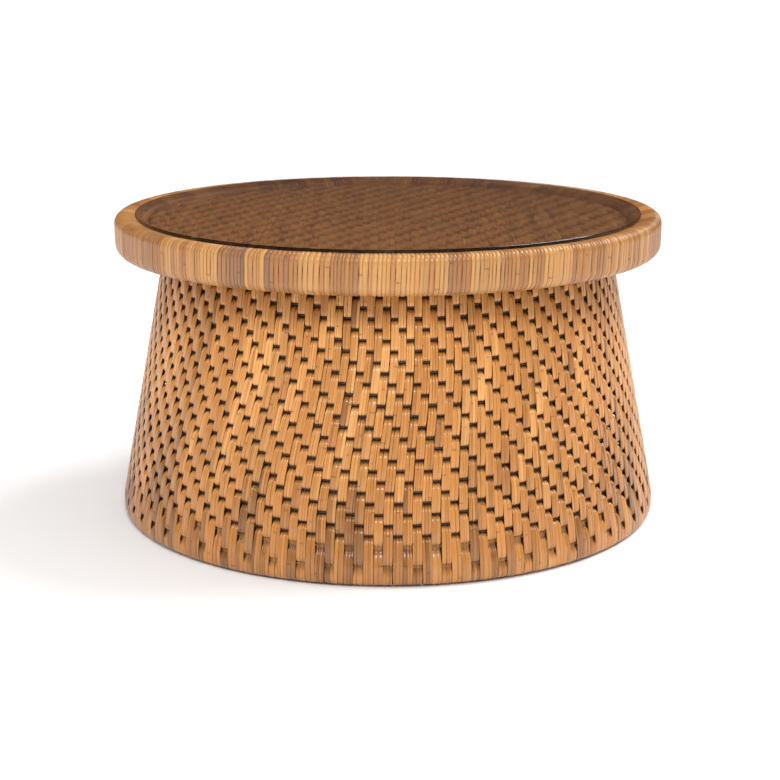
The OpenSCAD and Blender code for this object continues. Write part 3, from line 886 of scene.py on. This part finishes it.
class StakePath:
    """Where a stake's strips lie at each of their points: outer face radius and height
    with its normal, depth below that face, and share of the way into a dip."""

    DIP_STEPS = np.array([-10, -7.2, -5.2, -3.8, -2.6, -1.2, 0.6, 2.0, 3.0, 4.2, 6.5]) * MM
    FLOAT_STEPS = 3
    TALL_ROWS = 2          # the lowest rows are spread apart and have taller slots
    LIP = 3.6 * MM         # from a weft's middle up to the lower lip of the float above it
    RISE = 9.6 * MM        # from a weft's middle down to the crown of the float below it
    FLAT = 1.0 * MM        # half the height over which a strip stays behind the weft
    TALL_FLAT = 4.2 * MM
    TALLER_BY = 2.4 * MM   # added to the lip and rise of a tall row
    TALL_DIP = 5.0 * MM    # in these rows the strips pass in front of the weft
    # Above the tall rows the dips stay shallow for a while, and the painted shade of the slots
    # stays faint a little higher and then grows to full
    SHALLOW_FOR, CLEAN_FOR, CLEAN_FADE = 12 * MM, 2 * MM, 20 * MM  # above the tall rows
    LIP_WANDER = (-0.9 * MM, 1.1 * MM)
    BEYOND = 26 * MM       # how far the first and last floats run on out of sight
    REST = 0.25 * MM       # depth of the strips under the drum
    BOW = 1.6 * MM         # how far the middle of a float arches out

    def __init__(self, drum, rows, stake, weave, rng):
        dips = [j for j in range(len(rows)) if (stake + j) % 3 == 0]
        self.dip_heights = np.array([rows[j][1] for j in dips])
        self.dips = dips
        self.wander = rng.uniform(*self.LIP_WANDER, (2, len(dips)))
        heights = self.sample(drum)
        deep, bow = self.dip_profile(heights, drum)
        shallow = heights < rows[self.TALL_ROWS - 1][1] + self.SHALLOW_FOR
        dip = np.where(shallow, self.TALL_DIP, weave.dip)
        depth = weave.lap + (dip - weave.lap) * deep - self.BOW * bow
        self.clean_below = rows[self.TALL_ROWS - 1][1] + self.CLEAN_FOR
        radius = drum.radius(heights)
        normal = np.tile(drum.normal, (len(heights), 1))
        under = self.underside(drum)
        self.face = np.vstack([under[:, :2], np.column_stack([radius, heights])])
        self.normal = np.vstack([under[:, 2:], normal])
        rest = np.full(len(under), self.REST)
        self.depth = np.concatenate([rest, depth])
        self.deep = np.concatenate([np.zeros(len(under)), deep])

    def sample(self, drum):
        """Heights above the knee, close together at each dip and wider on the floats."""
        found = [drum.knee + 0.5 * MM]
        spots = [h + step for h in self.dip_heights for step in self.DIP_STEPS]
        for low, high in zip(self.dip_heights[:-1], self.dip_heights[1:]):
            found += list(np.linspace(low, high, self.FLOAT_STEPS + 2)[1:-1])
        last = self.dip_heights[-1]
        found += list(np.linspace(last, drum.top, self.FLOAT_STEPS + 1)[1:])
        heights = np.unique(np.round(np.array(found + spots), 5))
        inside = (heights > drum.knee + 0.4 * MM) & (heights <= drum.top)
        heights = heights[inside]
        apart = np.concatenate([[True], np.diff(heights) > 0.7 * MM])
        return heights[apart]

    def dip_profile(self, heights, drum):
        """(how deep, how bowed), each 0 to 1, at each height."""
        above = heights[:, None] - self.dip_heights[None, :]
        tall = np.array([j < self.TALL_ROWS for j in self.dips])
        flat = np.where(tall, self.TALL_FLAT, self.FLAT)
        taller = np.where(tall, self.TALLER_BY, 0.0)
        lip = self.LIP + taller + self.wander[0]
        rise = self.RISE + taller + self.wander[1]
        reach = np.where(above > 0, lip, rise)
        share = (np.abs(above) - flat) / (reach - flat)
        deep = (1 - smooth(share)).max(axis=1)
        beyond = self.BEYOND
        ends = np.concatenate([[drum.knee - beyond], self.dip_heights, [drum.top + beyond]])
        which = np.clip(np.searchsorted(ends, heights) - 1, 0, len(ends) - 2)
        along = (heights - ends[which]) / (ends[which + 1] - ends[which])
        bow = np.sin(math.pi * np.clip(along, 0, 1)) ** 0.8
        return deep, bow * (1 - deep)

    @staticmethod
    def underside(drum):
        """(radius, height, normal) from the folded end inside the bottom hoop, under it
        and up to the knee."""
        fold = 2.0 * MM
        inner = drum.fold_radius
        rows = [(inner, z, -1.0, 0.0) for z in (drum.fold_top, drum.fold_top * 0.55)]
        for turn in np.radians([180, 207, 234, 262]):
            c, s = math.cos(turn), math.sin(turn)
            rows.append((inner + fold * (1 + c), drum.under + fold * (1 + s), c, s))
        middle = (inner + drum.base_radius - drum.roll) / 2
        rows.append((middle, drum.under, 0.0, -1.0))
        for turn in np.radians([-90, -68, -45, -22, 0]):
            c, s = math.cos(turn), math.sin(turn)
            out = drum.base_radius - drum.roll + drum.roll * c
            rows.append((out, drum.under + drum.roll + drum.roll * s, c, s))
        rows.append((drum.base_radius, (drum.under + drum.roll + drum.knee) / 2, 1.0, 0.0))
        return np.array(rows)


class Habits:
    """How far single stakes, floats and strips stray from even places and tones."""

    STRIP_COUNTS = (2, 3, 4)          # strips in a stake, and how often each count comes
    STRIP_COUNT_ODDS = (0.3, 0.56, 0.14)
    STRIP_SHARES = (0.6, 1.4)         # widths of a stake's strips, against their mean
    STRIP_COVER = (0.97, 1.02)        # width of a strip as a share of its room
    STRIP_STAND = (-0.3 * MM, 0.22 * MM)
    STRIP_SWAY = 0.25 * MM            # sideways spread of a strip from dip to dip
    STAKE_SWAY = 0.3 * MM             # and of a whole stake
    STAKE_OFFSET = 0.3 * MM
    WAVE, WAVE_RATE = 0.4 * MM, 23
    STRIP_TONE, FLOAT_TONE = 0.075, 0.06
    DARK_STRIPS, DARK_BY = 0.07, 0.22
    # Painted shade: tones get darker towards the bottom of the drum, most at the floor and none
    # from 300 mm up
    AGED_BY, AGED_BELOW = 0.3, 300 * MM
    FRESH = 0.04


def stake_tones(stakes, rows, rng):
    """Tone of each float, by stake and by the row of the dip below it. Floats that lie on
    one steep diagonal are alike for a while, as canes from one bundle are."""
    step = 7
    knots = stakes // step + 2
    lines = rng.normal(0.0, 1.0, (rows + 2 * stakes + 4, knots))
    patches = rng.normal(0.0, 1.0, (8, 31))
    stake = np.arange(stakes)[:, None]
    row = np.arange(-3, rows)[None, :]
    line = row - 2 * stake + 2 * stakes + 3
    knot = (stake // step) + np.zeros_like(row)
    part = (stake % step) / step
    run = lines[line, knot] * (1 - part) + lines[line, knot + 1] * part
    across = stake / stakes * 30
    up = (row + 3) / (rows + 3) * 6
    low, left = up.astype(int) + 0 * stake, across.astype(int) + 0 * row
    u, v = smooth(up - low), smooth(across - left)
    patch = (patches[low, left] * (1 - u) + patches[low + 1, left] * u) * (1 - v) + (
        patches[low, left + 1] * (1 - u) + patches[low + 1, left + 1] * u
    ) * v
    return 0.58 + 0.13 * run + 0.07 * patch


def stake_strips(stake, drum, rows, lean, weave, tones, rng):
    """The two to four strips of peel that make one stake."""
    path = StakePath(drum, rows, stake, weave, rng)
    radius, height = path.face[:, 0], path.face[:, 1]
    angle = 2 * math.pi * stake / weave.stakes
    middle = angle + lean.shift(angle, height, radius)
    pitch = 2 * math.pi / weave.stakes * lean.spread(angle, height, radius) * radius
    middle = middle + rng.uniform(-Habits.STAKE_OFFSET, Habits.STAKE_OFFSET) / radius
    wave = rng.uniform(0.0, 2 * math.pi, 2)
    wave = Habits.WAVE * np.sin(height * Habits.WAVE_RATE + wave[0])
    middle = middle + wave / radius
    knots = np.concatenate([[0.0], path.dip_heights, [drum.top]])
    sway = rng.normal(0.0, Habits.STAKE_SWAY, len(knots))
    middle = middle + np.interp(height, knots, sway) / radius
    count = rng.choice(Habits.STRIP_COUNTS, p=Habits.STRIP_COUNT_ODDS)
    shares = rng.uniform(*Habits.STRIP_SHARES, count)
    shares /= shares.sum()
    usable = pitch - weave.stake_gap
    left = -0.5
    above = np.searchsorted(path.dip_heights, height)
    row_of = np.array([-3] + path.dips)[above]
    float_tone = tones[stake, row_of + 3]
    made = []
    for share in shares:
        offset = (left + share / 2) * usable
        left += share
        strip_tone = rng.normal(0.0, Habits.STRIP_TONE)
        jump = rng.normal(0.0, Habits.FLOAT_TONE, len(path.dips) + 1)[above]
        if rng.random() < Habits.DARK_STRIPS:
            strip_tone -= Habits.DARK_BY
        lift = rng.uniform(*Habits.STRIP_STAND)
        sway = np.interp(height, knots, rng.normal(0.0, Habits.STRIP_SWAY, len(knots)))
        depth = path.depth + weave.thickness + lift * (1 - path.deep)
        place_r = path.face - path.normal * depth[:, None]
        where = middle + (offset + sway) / radius
        line = polar(place_r[:, 0], where, place_r[:, 1])
        facing = polar(path.normal[:, 0], where, path.normal[:, 1])
        # Painted shade, darker towards the bottom of the drum
        aged = Habits.AGED_BY * (1 - smooth(height / Habits.AGED_BELOW))
        tone = float_tone + strip_tone + jump + Habits.FRESH - aged
        tone = np.clip(tone, 0.02, 1.0)
        width = usable * share * rng.uniform(*Habits.STRIP_COVER)
        # Painted shade: the strips darken towards near-black where they dip deep behind a weft,
        # only faintly in the lowest tall rows; this goes in as their depth
        cleaner = smooth((height - path.clean_below) / path.CLEAN_FADE)
        grime = smooth((path.deep - 0.3) / 0.6) * (0.4 + 0.6 * cleaner)
        made.append(Strip(line, facing, width, weave.thickness, tone, grime))
    return made


class RATTAN_TABLE_OT_drum(bpy.types.Operator):
    """Weave the drum's upright stakes of split peel"""

    bl_idname = "rattan_table.drum"
    bl_label = "Weave the drum"
    bl_options = {"REGISTER", "UNDO"}

    def execute(self, context):
        settings = context.scene.rattan_table
        weave, colours = settings.weave, settings.finish
        drum, rows = Drum(), weft_rows()
        rng = np.random.default_rng(DRUM_SEED)
        lean = Lean(weave.lean)
        tones = stake_tones(weave.stakes, len(rows), rng)
        finish = cane_finish(
            "rattan peel", tones_of(colours, "peel"), gloss=1.0, streaks=0.5, specks=0.45, grime=0.9
        )
        parts = 8
        for number in range(parts):
            strips = []
            first = weave.stakes * number // parts
            for stake in range(first, weave.stakes * (number + 1) // parts):
                strips += stake_strips(stake, drum, rows, lean, weave, tones, rng)
            piece = cane_piece(f"side_strips_{number + 1}", strips)
            place(piece, finish, "rattan_peel", "side_weave")
        return {"FINISHED"}


class RATTAN_TABLE_OT_wefts(bpy.types.Operator):
    """Run the hidden weft reeds round the drum, in and out between the stakes"""

    bl_idname = "rattan_table.wefts"
    bl_label = "Run the wefts"
    bl_options = {"REGISTER", "UNDO"}

    def execute(self, context):
        settings = context.scene.rattan_table
        weave = settings.weave
        lean = Lean(weave.lean)
        rows = weft_rows()
        thickness = 2 * (rows[0][1] - ring_points("weft_reeds")[:, 1].min())
        rng = np.random.default_rng(WEFT_SEED)
        corner = 2 * math.pi * np.arange(REED_SIDES) / REED_SIDES
        section = 0.5 * np.column_stack([np.cos(corner), np.sin(corner)])
        half = 2
        index = np.arange(weave.stakes * half) / half
        strips = []
        for row, (radius, height) in enumerate(rows):
            angle = 2 * math.pi * index / weave.stakes
            angle = angle + lean.shift(angle, height, radius)
            over = np.cos(2 * math.pi * (index + row) / 3)
            wave = 0.35 * MM * over + rng.normal(0.0, 0.1 * MM, len(index))
            sway = 0.5 * MM * np.sin(angle * 5 + row * 1.7)
            in_tall_slots = row < StakePath.TALL_ROWS
            sunk = 2.4 * MM if in_tall_slots else 0.25 * MM
            line = polar(radius - sunk + wave, angle, height + sway)
            facing = polar(1.0, angle, 0.0)
            # Painted shade: above the tall rows the reed takes a near-black tone for the shade in
            # the slots; in the tall rows it stays brown
            tone = (0.95 if in_tall_slots else 0.3) + 0.05 * np.sin(angle * 3 + row)
            strips.append(Strip(line, facing, thickness, thickness, tone, 0.0, closed=True))
        # The reed's tones run from brown to near-black, the near-black being painted shade for the
        # slots
        tones = (0.34, 0.15, 0.055), (0.05, 0.024, 0.012), (0.016, 0.008, 0.005)
        finish = cane_finish("weft reed", tones, gloss=0.1, streaks=0.6, specks=0.3, grime=0.5)
        piece = cane_piece("weft_rings", strips, section)
        place(piece, finish, "weft_reed", "weft_reeds")
        return {"FINISHED"}


# --- Mat -----------------------------------------------------------------------------


class MatShape:
    """Levels in the mat, above its underside, and the form of its dips."""

    UNDER, OVER, WEFT = 0.1 * MM, 2.15 * MM, 1.1 * MM
    DIP_STEPS = np.array([-7.6, -5.0, -2.4, 2.4, 5.0, 7.6]) * MM
    FLAT, SLOPE = 2.0 * MM, 5.4 * MM
    BOW = 0.8 * MM         # how far the middle of a float arches up
    EDGE = 0.5 * MM        # gap between the strips' ends and the mat's edge
    SHORTEST = 5 * MM
    WEFT_WIDTH, WEFT_THICKNESS = 4.6 * MM, 0.95 * MM


def mat_strips(mat, radius, floor, rng):
    """Strips along Y, three to a group, which pass over two wefts and under the third."""
    in_group = 3
    under_at = floor + MatShape.UNDER
    over_at = floor + MatShape.OVER
    lines = int(radius // mat.strip_pitch)
    wefts = int(radius // mat.weft_pitch) + 1
    run_tones = rng.normal(0.0, 1.0, 2 * lines + 200)
    made = []
    for number in range(-lines, lines + 1):
        x = number * mat.strip_pitch
        reach = math.sqrt(max(radius**2 - x**2, 0.0)) - MatShape.EDGE
        if reach < MatShape.SHORTEST:
            continue
        group = number // in_group
        dips = np.array([m for m in range(-wefts, wefts + 1) if (m - group) % 3 == 0])
        dips = dips * mat.weft_pitch
        spots = (dips[:, None] + MatShape.DIP_STEPS).ravel()
        middles = dips[:, None] + mat.weft_pitch * np.array([0.9, 1.5, 2.1])
        y = np.concatenate([[-reach, reach], spots, middles.ravel()])
        y = np.unique(y[(y >= -reach) & (y <= reach)])
        near = np.abs(y[:, None] - dips[None, :]).min(axis=1)
        deep = 1 - smooth((near - MatShape.FLAT) / MatShape.SLOPE)
        bow = smooth(near / (1.5 * mat.weft_pitch))
        lift = rng.uniform(-0.1, 0.12) * MM + MatShape.BOW * bow
        height = over_at + lift + (under_at - over_at - lift) * deep
        sway = 0.25 * MM * np.sin(y * 19 + rng.uniform(0, 6.3))
        line = np.column_stack([x + sway, y, height])
        which = np.floor(y / (3 * mat.weft_pitch)).astype(int)
        tone = 0.5 + 0.12 * run_tones[(group * 7 + which) % len(run_tones)]
        # Painted light: each float is lighter towards its raised middle, and its dips take painted
        # shade through the depth given below
        tone = np.clip(tone + rng.normal(0.0, 0.08) + 0.5 * bow - 0.3, 0.0, 1.0)
        width = mat.strip_pitch * rng.uniform(0.88, 0.97)
        made.append(Strip(line, (0.0, 0.0, 1.0), width, mat.thickness, tone, smooth(deep)))
    return made


def mat_wefts(mat, radius, floor):
    """The flat wefts along X, seen only in the slots between the strips."""
    made = []
    rise = floor + MatShape.WEFT
    wefts = int(radius // mat.weft_pitch)
    for number in range(-wefts, wefts + 1):
        y = number * mat.weft_pitch
        reach = math.sqrt(radius**2 - y**2) - MatShape.EDGE
        if reach < MatShape.SHORTEST:
            continue
        x = np.linspace(-reach, reach, max(int(reach * 60), 3))
        line = np.column_stack([x, np.full_like(x, y), np.full_like(x, rise)])
        width, thickness = MatShape.WEFT_WIDTH, MatShape.WEFT_THICKNESS
        made.append(Strip(line, (0.0, 0.0, 1.0), width, thickness, 0.5))
    return made


class RATTAN_TABLE_OT_mat(bpy.types.Operator):
    """Weave the twill mat that lies under the glass"""

    bl_idname = "rattan_table.mat"
    bl_label = "Weave the mat"
    bl_options = {"REGISTER", "UNDO"}

    def execute(self, context):
        settings = context.scene.rattan_table
        colours = settings.finish
        low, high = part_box("top_mat")
        rng = np.random.default_rng(MAT_SEED)
        finish = cane_finish(
            "mat cane", tones_of(colours, "mat"), gloss=0.4, streaks=0.5, specks=0.4, grime=0.7
        )
        strips = mat_strips(settings.mat, high.x, low.z, rng)
        place(cane_piece("mat_strips", strips), finish, "woven_mat", "top_mat")
        tones = (0.1, 0.055, 0.03), (0.07, 0.038, 0.02), (0.04, 0.02, 0.012)
        hidden = cane_finish("mat weft", tones, gloss=0.2, streaks=0.5, specks=0.2, grime=0.5)
        wefts = mat_wefts(settings.mat, high.x, low.z)
        place(cane_piece("mat_wefts", wefts), hidden, "woven_mat", "top_mat")
        return {"FINISHED"}


# --- Lashings ------------------------------------------------------------------------


def lashing_loop(post_radius, hoop_radius, apart, slack, steps):
    """Oval (out, round) path of a turn that crosses a post and the middle hoop on the
    diagonal. apart is the distance between their middle lines."""
    stretch = math.sqrt(2)
    turn = np.linspace(-math.pi / 2, math.pi / 2, steps)
    outer = np.column_stack(
        [
            apart / 2 + (post_radius + slack) * np.cos(turn),
            (post_radius * stretch + slack) * np.sin(turn),
        ]
    )
    turn = turn + math.pi
    inner = np.column_stack(
        [
            -apart / 2 + (hoop_radius + slack) * np.cos(turn),
            (hoop_radius * stretch + slack) * np.sin(turn),
        ]
    )
    return np.vstack([outer, inner])


class RATTAN_TABLE_OT_lashings(bpy.types.Operator):
    """Lash the middle hoop to each post with crossed turns of peel"""

    bl_idname = "rattan_table.lashings"
    bl_label = "Lash the hoop"
    bl_options = {"REGISTER", "UNDO"}

    def execute(self, context):
        colours = context.scene.rattan_table.finish
        low_hoop, mid_hoop, top_hoop = map(Hoop, ("bottom_hoop", "middle_hoop", "top_hoop"))
        share = (mid_hoop.height - low_hoop.height) / (top_hoop.height - low_hoop.height)
        post_at = low_hoop.radius + (top_hoop.radius - low_hoop.radius) * share
        post_low, post_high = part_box("post_1")
        post_radius = (post_high.y - post_low.y) / 2
        apart = post_at - mid_hoop.radius
        rng = np.random.default_rng(LASHING_SEED)
        posts = len(post_nodes())
        width, thickness, turns = 3.2 * MM, 1.0 * MM, 3
        strips = []
        for post in range(posts):
            turn = 2 * math.pi * post / posts
            out = np.array([math.cos(turn), math.sin(turn), 0.0])
            along = np.array([-math.sin(turn), math.cos(turn), 0.0])
            centre = out * (post_at + mid_hoop.radius) / 2
            centre[2] = mid_hoop.height
            for layer, slope in enumerate((1, -1)):
                lay = unit(along + slope * np.array([0.0, 0.0, 1.0]))
                step = np.cross(out, lay)
                slack = 2.0 * MM + layer * (thickness + 0.15 * MM)
                path = lashing_loop(post_radius, mid_hoop.thickness / 2, apart, slack, 12)
                grown = lashing_loop(post_radius, mid_hoop.thickness / 2, apart, slack + MM, 12)
                normal = unit(grown - path)
                for number in range(turns):
                    beside = (number - (turns - 1) / 2) * (width + 0.15 * MM)
                    line = centre + path[:, :1] * out + path[:, 1:] * lay + beside * step
                    facing = normal[:, :1] * out + normal[:, 1:] * lay
                    tone = np.clip(rng.normal(0.5, 0.15), 0, 1)
                    strips.append(Strip(line, facing, width, thickness, tone, closed=True))
        finish = cane_finish(
            "lashing peel",
            tones_of(colours, "binding"),
            gloss=0.6, streaks=0.6, specks=0.4, grime=0.6,
        )
        piece = cane_piece("post_lashings", strips)
        place(piece, finish, "cane_lashing", "hoop_lashings")
        return {"FINISHED"}


# --- Finishes of the CAD nodes -------------------------------------------------------


class RATTAN_TABLE_OT_finishes(bpy.types.Operator):
    """Give the poles, board, fixings, glides and glass their finishes"""

    bl_idname = "rattan_table.finishes"
    bl_label = "Finish the frame"
    bl_options = {"REGISTER", "UNDO"}

    def execute(self, context):
        colours = context.scene.rattan_table.finish
        pole_light, pole_dark = (0.58, 0.38, 0.18), (0.36, 0.2, 0.085)
        for node in sorted(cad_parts):
            if node.endswith("_hoop") or node.startswith("rim_pole"):
                hoop = Hoop(node)
                name = f"pole {node}"
                paint(node, pole_finish(name, pole_light, pole_dark, 0.26, hoop.radius))
        upright = (0.0, math.pi / 2, 0.0)
        posts = pole_finish("post pole", pole_light, pole_dark, 0.21, turn=upright)
        for node in post_nodes():
            paint(node, posts)
        lying = math.radians(-22.5)
        along, aside = (0.0, 0.0, lying), (0.0, 0.0, lying + math.pi / 2)
        paint("brace_long", pole_finish("long brace pole", pole_light, pole_dark, 0.23, turn=along))
        across = pole_finish("short brace pole", pole_light, pole_dark, 0.2, turn=aside)
        paint("brace_left", across)
        paint("brace_right", across)
        paint("top_board", plywood_finish())
        reed = flat_reed_finish()
        paint("top_cover_strip", reed)
        paint("bottom_cover_strip", reed)
        zinc = metal_finish("zinc plate", (0.58, 0.58, 0.6), (0.33, 0.32, 0.31), 0.28, 0.8)
        for node in ("rim_nails", "rim_brackets", "hoop_nails", "glide_nails", "bracket_screws"):
            paint(node, zinc)
        yellow = metal_finish("yellow zinc", (0.66, 0.52, 0.24), (0.36, 0.28, 0.15), 0.3, 0.8)
        for node in ("board_screws", "post_screws", "brace_screws"):
            paint(node, yellow)
        brass = metal_finish("dull brass", (0.6, 0.42, 0.16), (0.25, 0.16, 0.07), 0.34, 0.9)
        paint("cover_strip_tacks", brass)
        paint("floor_glides", plastic_finish())
        paint("glass_pads", pad_finish())
        paint("glass_top", glass_finish(colours.glass_tint, colours.glass_edge))
        return {"FINISHED"}


def flat_reed_finish():
    """Flat reed bent round the drum, with its grain along it."""
    material, tree, shader = new_finish("flat reed")
    vector = add(tree, "ShaderNodeTexCoord").outputs["Object"]
    vector = placed_group(tree, "round the axis", {"Vector": vector, "Radius": 0.35})["Vector"]
    grain = placed_group(tree, "pole grain", {"Vector": vector, "Spacing": 0.4, "Offset": 0.1})
    colour = mixed(tree, grain["Shade"], (0.34, 0.19, 0.085), (0.6, 0.4, 0.2))
    tree.links.new(colour, shader.inputs["Base Color"])
    tree.links.new(remapped(tree, grain["Shade"], 0.0, 1.0, 0.6, 0.42), shader.inputs["Roughness"])
    bump(tree, shader, grain["Height"], 0.35, 0.4 * MM)
    return material


# --- Stage ---------------------------------------------------------------------------


def soft_light(name, place_at, aim, size, power):
    """A square soft box that looks at a point."""
    data = bpy.data.lights.new(name, "AREA")
    data.shape = "SQUARE"
    data.size = size
    data.energy = power
    lamp = bpy.data.objects.new(name, data)
    lamp.location = place_at
    lamp.rotation_mode = "QUATERNION"
    lamp.rotation_quaternion = (Vector(aim) - Vector(place_at)).to_track_quat("-Z", "Y")
    bpy.context.scene.collection.objects.link(lamp)
    return lamp


def studio_world(strength, mirrored):
    """Even white light, which the glass and the peel mirror as a darker room."""
    world = bpy.data.worlds.new("studio")
    world.use_nodes = True
    tree = world.node_tree
    tree.nodes.clear()
    white = (1.0, 1.0, 1.0, 1.0)
    around = add(tree, "ShaderNodeBackground", {"Color": white, "Strength": strength})
    dim = add(tree, "ShaderNodeBackground", {"Color": white, "Strength": mirrored})
    glossy = add(tree, "ShaderNodeLightPath").outputs["Is Glossy Ray"]
    inputs = {0: glossy, 1: around.outputs[0], 2: dim.outputs[0]}
    both = add(tree, "ShaderNodeMixShader", inputs)
    add(tree, "ShaderNodeOutputWorld", {"Surface": both.outputs["Shader"]})
    return world


class RATTAN_TABLE_OT_stage(bpy.types.Operator):
    """Set up the floor, the soft light and the camera"""

    bl_idname = "rattan_table.stage"
    bl_label = "Set the stage"
    bl_options = {"REGISTER", "UNDO"}

    def execute(self, context):
        settings = context.scene.rattan_table.stage
        half = 40.0
        mesh = bpy.data.meshes.new("studio_floor")
        corners = [(-half, -half, 0), (half, -half, 0), (half, half, 0), (-half, half, 0)]
        mesh.from_pydata(corners, [], [(0, 1, 2, 3)])
        floor = bpy.data.objects.new("studio_floor", mesh)
        context.scene.collection.objects.link(floor)
        mesh.materials.append(floor_finish())

        context.scene.world = studio_world(strength=0.73, mirrored=0.03)

        sun = bpy.data.lights.new("key", "SUN")
        sun.energy = 2.0
        sun.angle = math.radians(32)
        key = bpy.data.objects.new("key", sun)
        key.rotation_mode = "QUATERNION"
        key.rotation_quaternion = Vector((-1.0, -0.42, -1.3)).to_track_quat("-Z", "Y")
        context.scene.collection.objects.link(key)
        soft_light("front_box", (0.1, -2.4, 2.2), (0, -0.2, 0.25), 0.7, 40)
        soft_light("left_box", (-2.4, -1.2, 1.9), (0, 0, 0.25), 1.0, 12)

        lens = bpy.data.cameras.new("camera")
        lens.sensor_width = 36.0
        lens.lens = settings.lens
        lens.shift_x = settings.shift
        camera = bpy.data.objects.new("camera", lens)
        camera.location = (0.0, -settings.camera_distance, settings.camera_height)
        camera.rotation_euler = (math.pi / 2 - settings.camera_pitch, 0.0, 0.0)
        context.scene.collection.objects.link(camera)
        context.scene.camera = camera
        context.scene.view_settings.view_transform = "Standard"
        return {"FINISHED"}


# --- Add-on --------------------------------------------------------------------------


class RATTAN_TABLE_PT_panel(bpy.types.Panel):
    bl_label = "Rattan Table"
    bl_idname = "RATTAN_TABLE_PT_panel"
    bl_space_type = "VIEW_3D"
    bl_region_type = "UI"
    bl_category = "Rattan Table"

    def draw(self, context):
        settings = context.scene.rattan_table
        for operator, group in (
            ("rattan_table.rim", settings.rim),
            ("rattan_table.drum", settings.weave),
            ("rattan_table.wefts", None),
            ("rattan_table.mat", settings.mat),
            ("rattan_table.lashings", None),
            ("rattan_table.finishes", settings.finish),
            ("rattan_table.stage", settings.stage),
        ):
            box = self.layout.box()
            box.operator(operator)
            if group is not None:
                for name in group.bl_rna.properties.keys():
                    if name not in ("rna_type", "name"):
                        box.prop(group, name)


CLASSES = (
    RimSettings,
    WeaveSettings,
    MatSettings,
    FinishSettings,
    StageSettings,
    TableSettings,
    RATTAN_TABLE_OT_rim,
    RATTAN_TABLE_OT_drum,
    RATTAN_TABLE_OT_wefts,
    RATTAN_TABLE_OT_mat,
    RATTAN_TABLE_OT_lashings,
    RATTAN_TABLE_OT_finishes,
    RATTAN_TABLE_OT_stage,
    RATTAN_TABLE_PT_panel,
)


def register():
    for made in CLASSES:
        bpy.utils.register_class(made)
    bpy.types.Scene.rattan_table = PointerProperty(
        type=TableSettings, name="Rattan table", description="Settings of the rattan table"
    )


def unregister():
    del bpy.types.Scene.rattan_table
    for made in reversed(CLASSES):
        bpy.utils.unregister_class(made)


def main():
    register()
    bpy.ops.rattan_table.rim()
    bpy.ops.rattan_table.drum()
    bpy.ops.rattan_table.wefts()
    bpy.ops.rattan_table.mat()
    bpy.ops.rattan_table.lashings()
    bpy.ops.rattan_table.finishes()
    bpy.ops.rattan_table.stage()


if __name__ == "__main__":
    main()
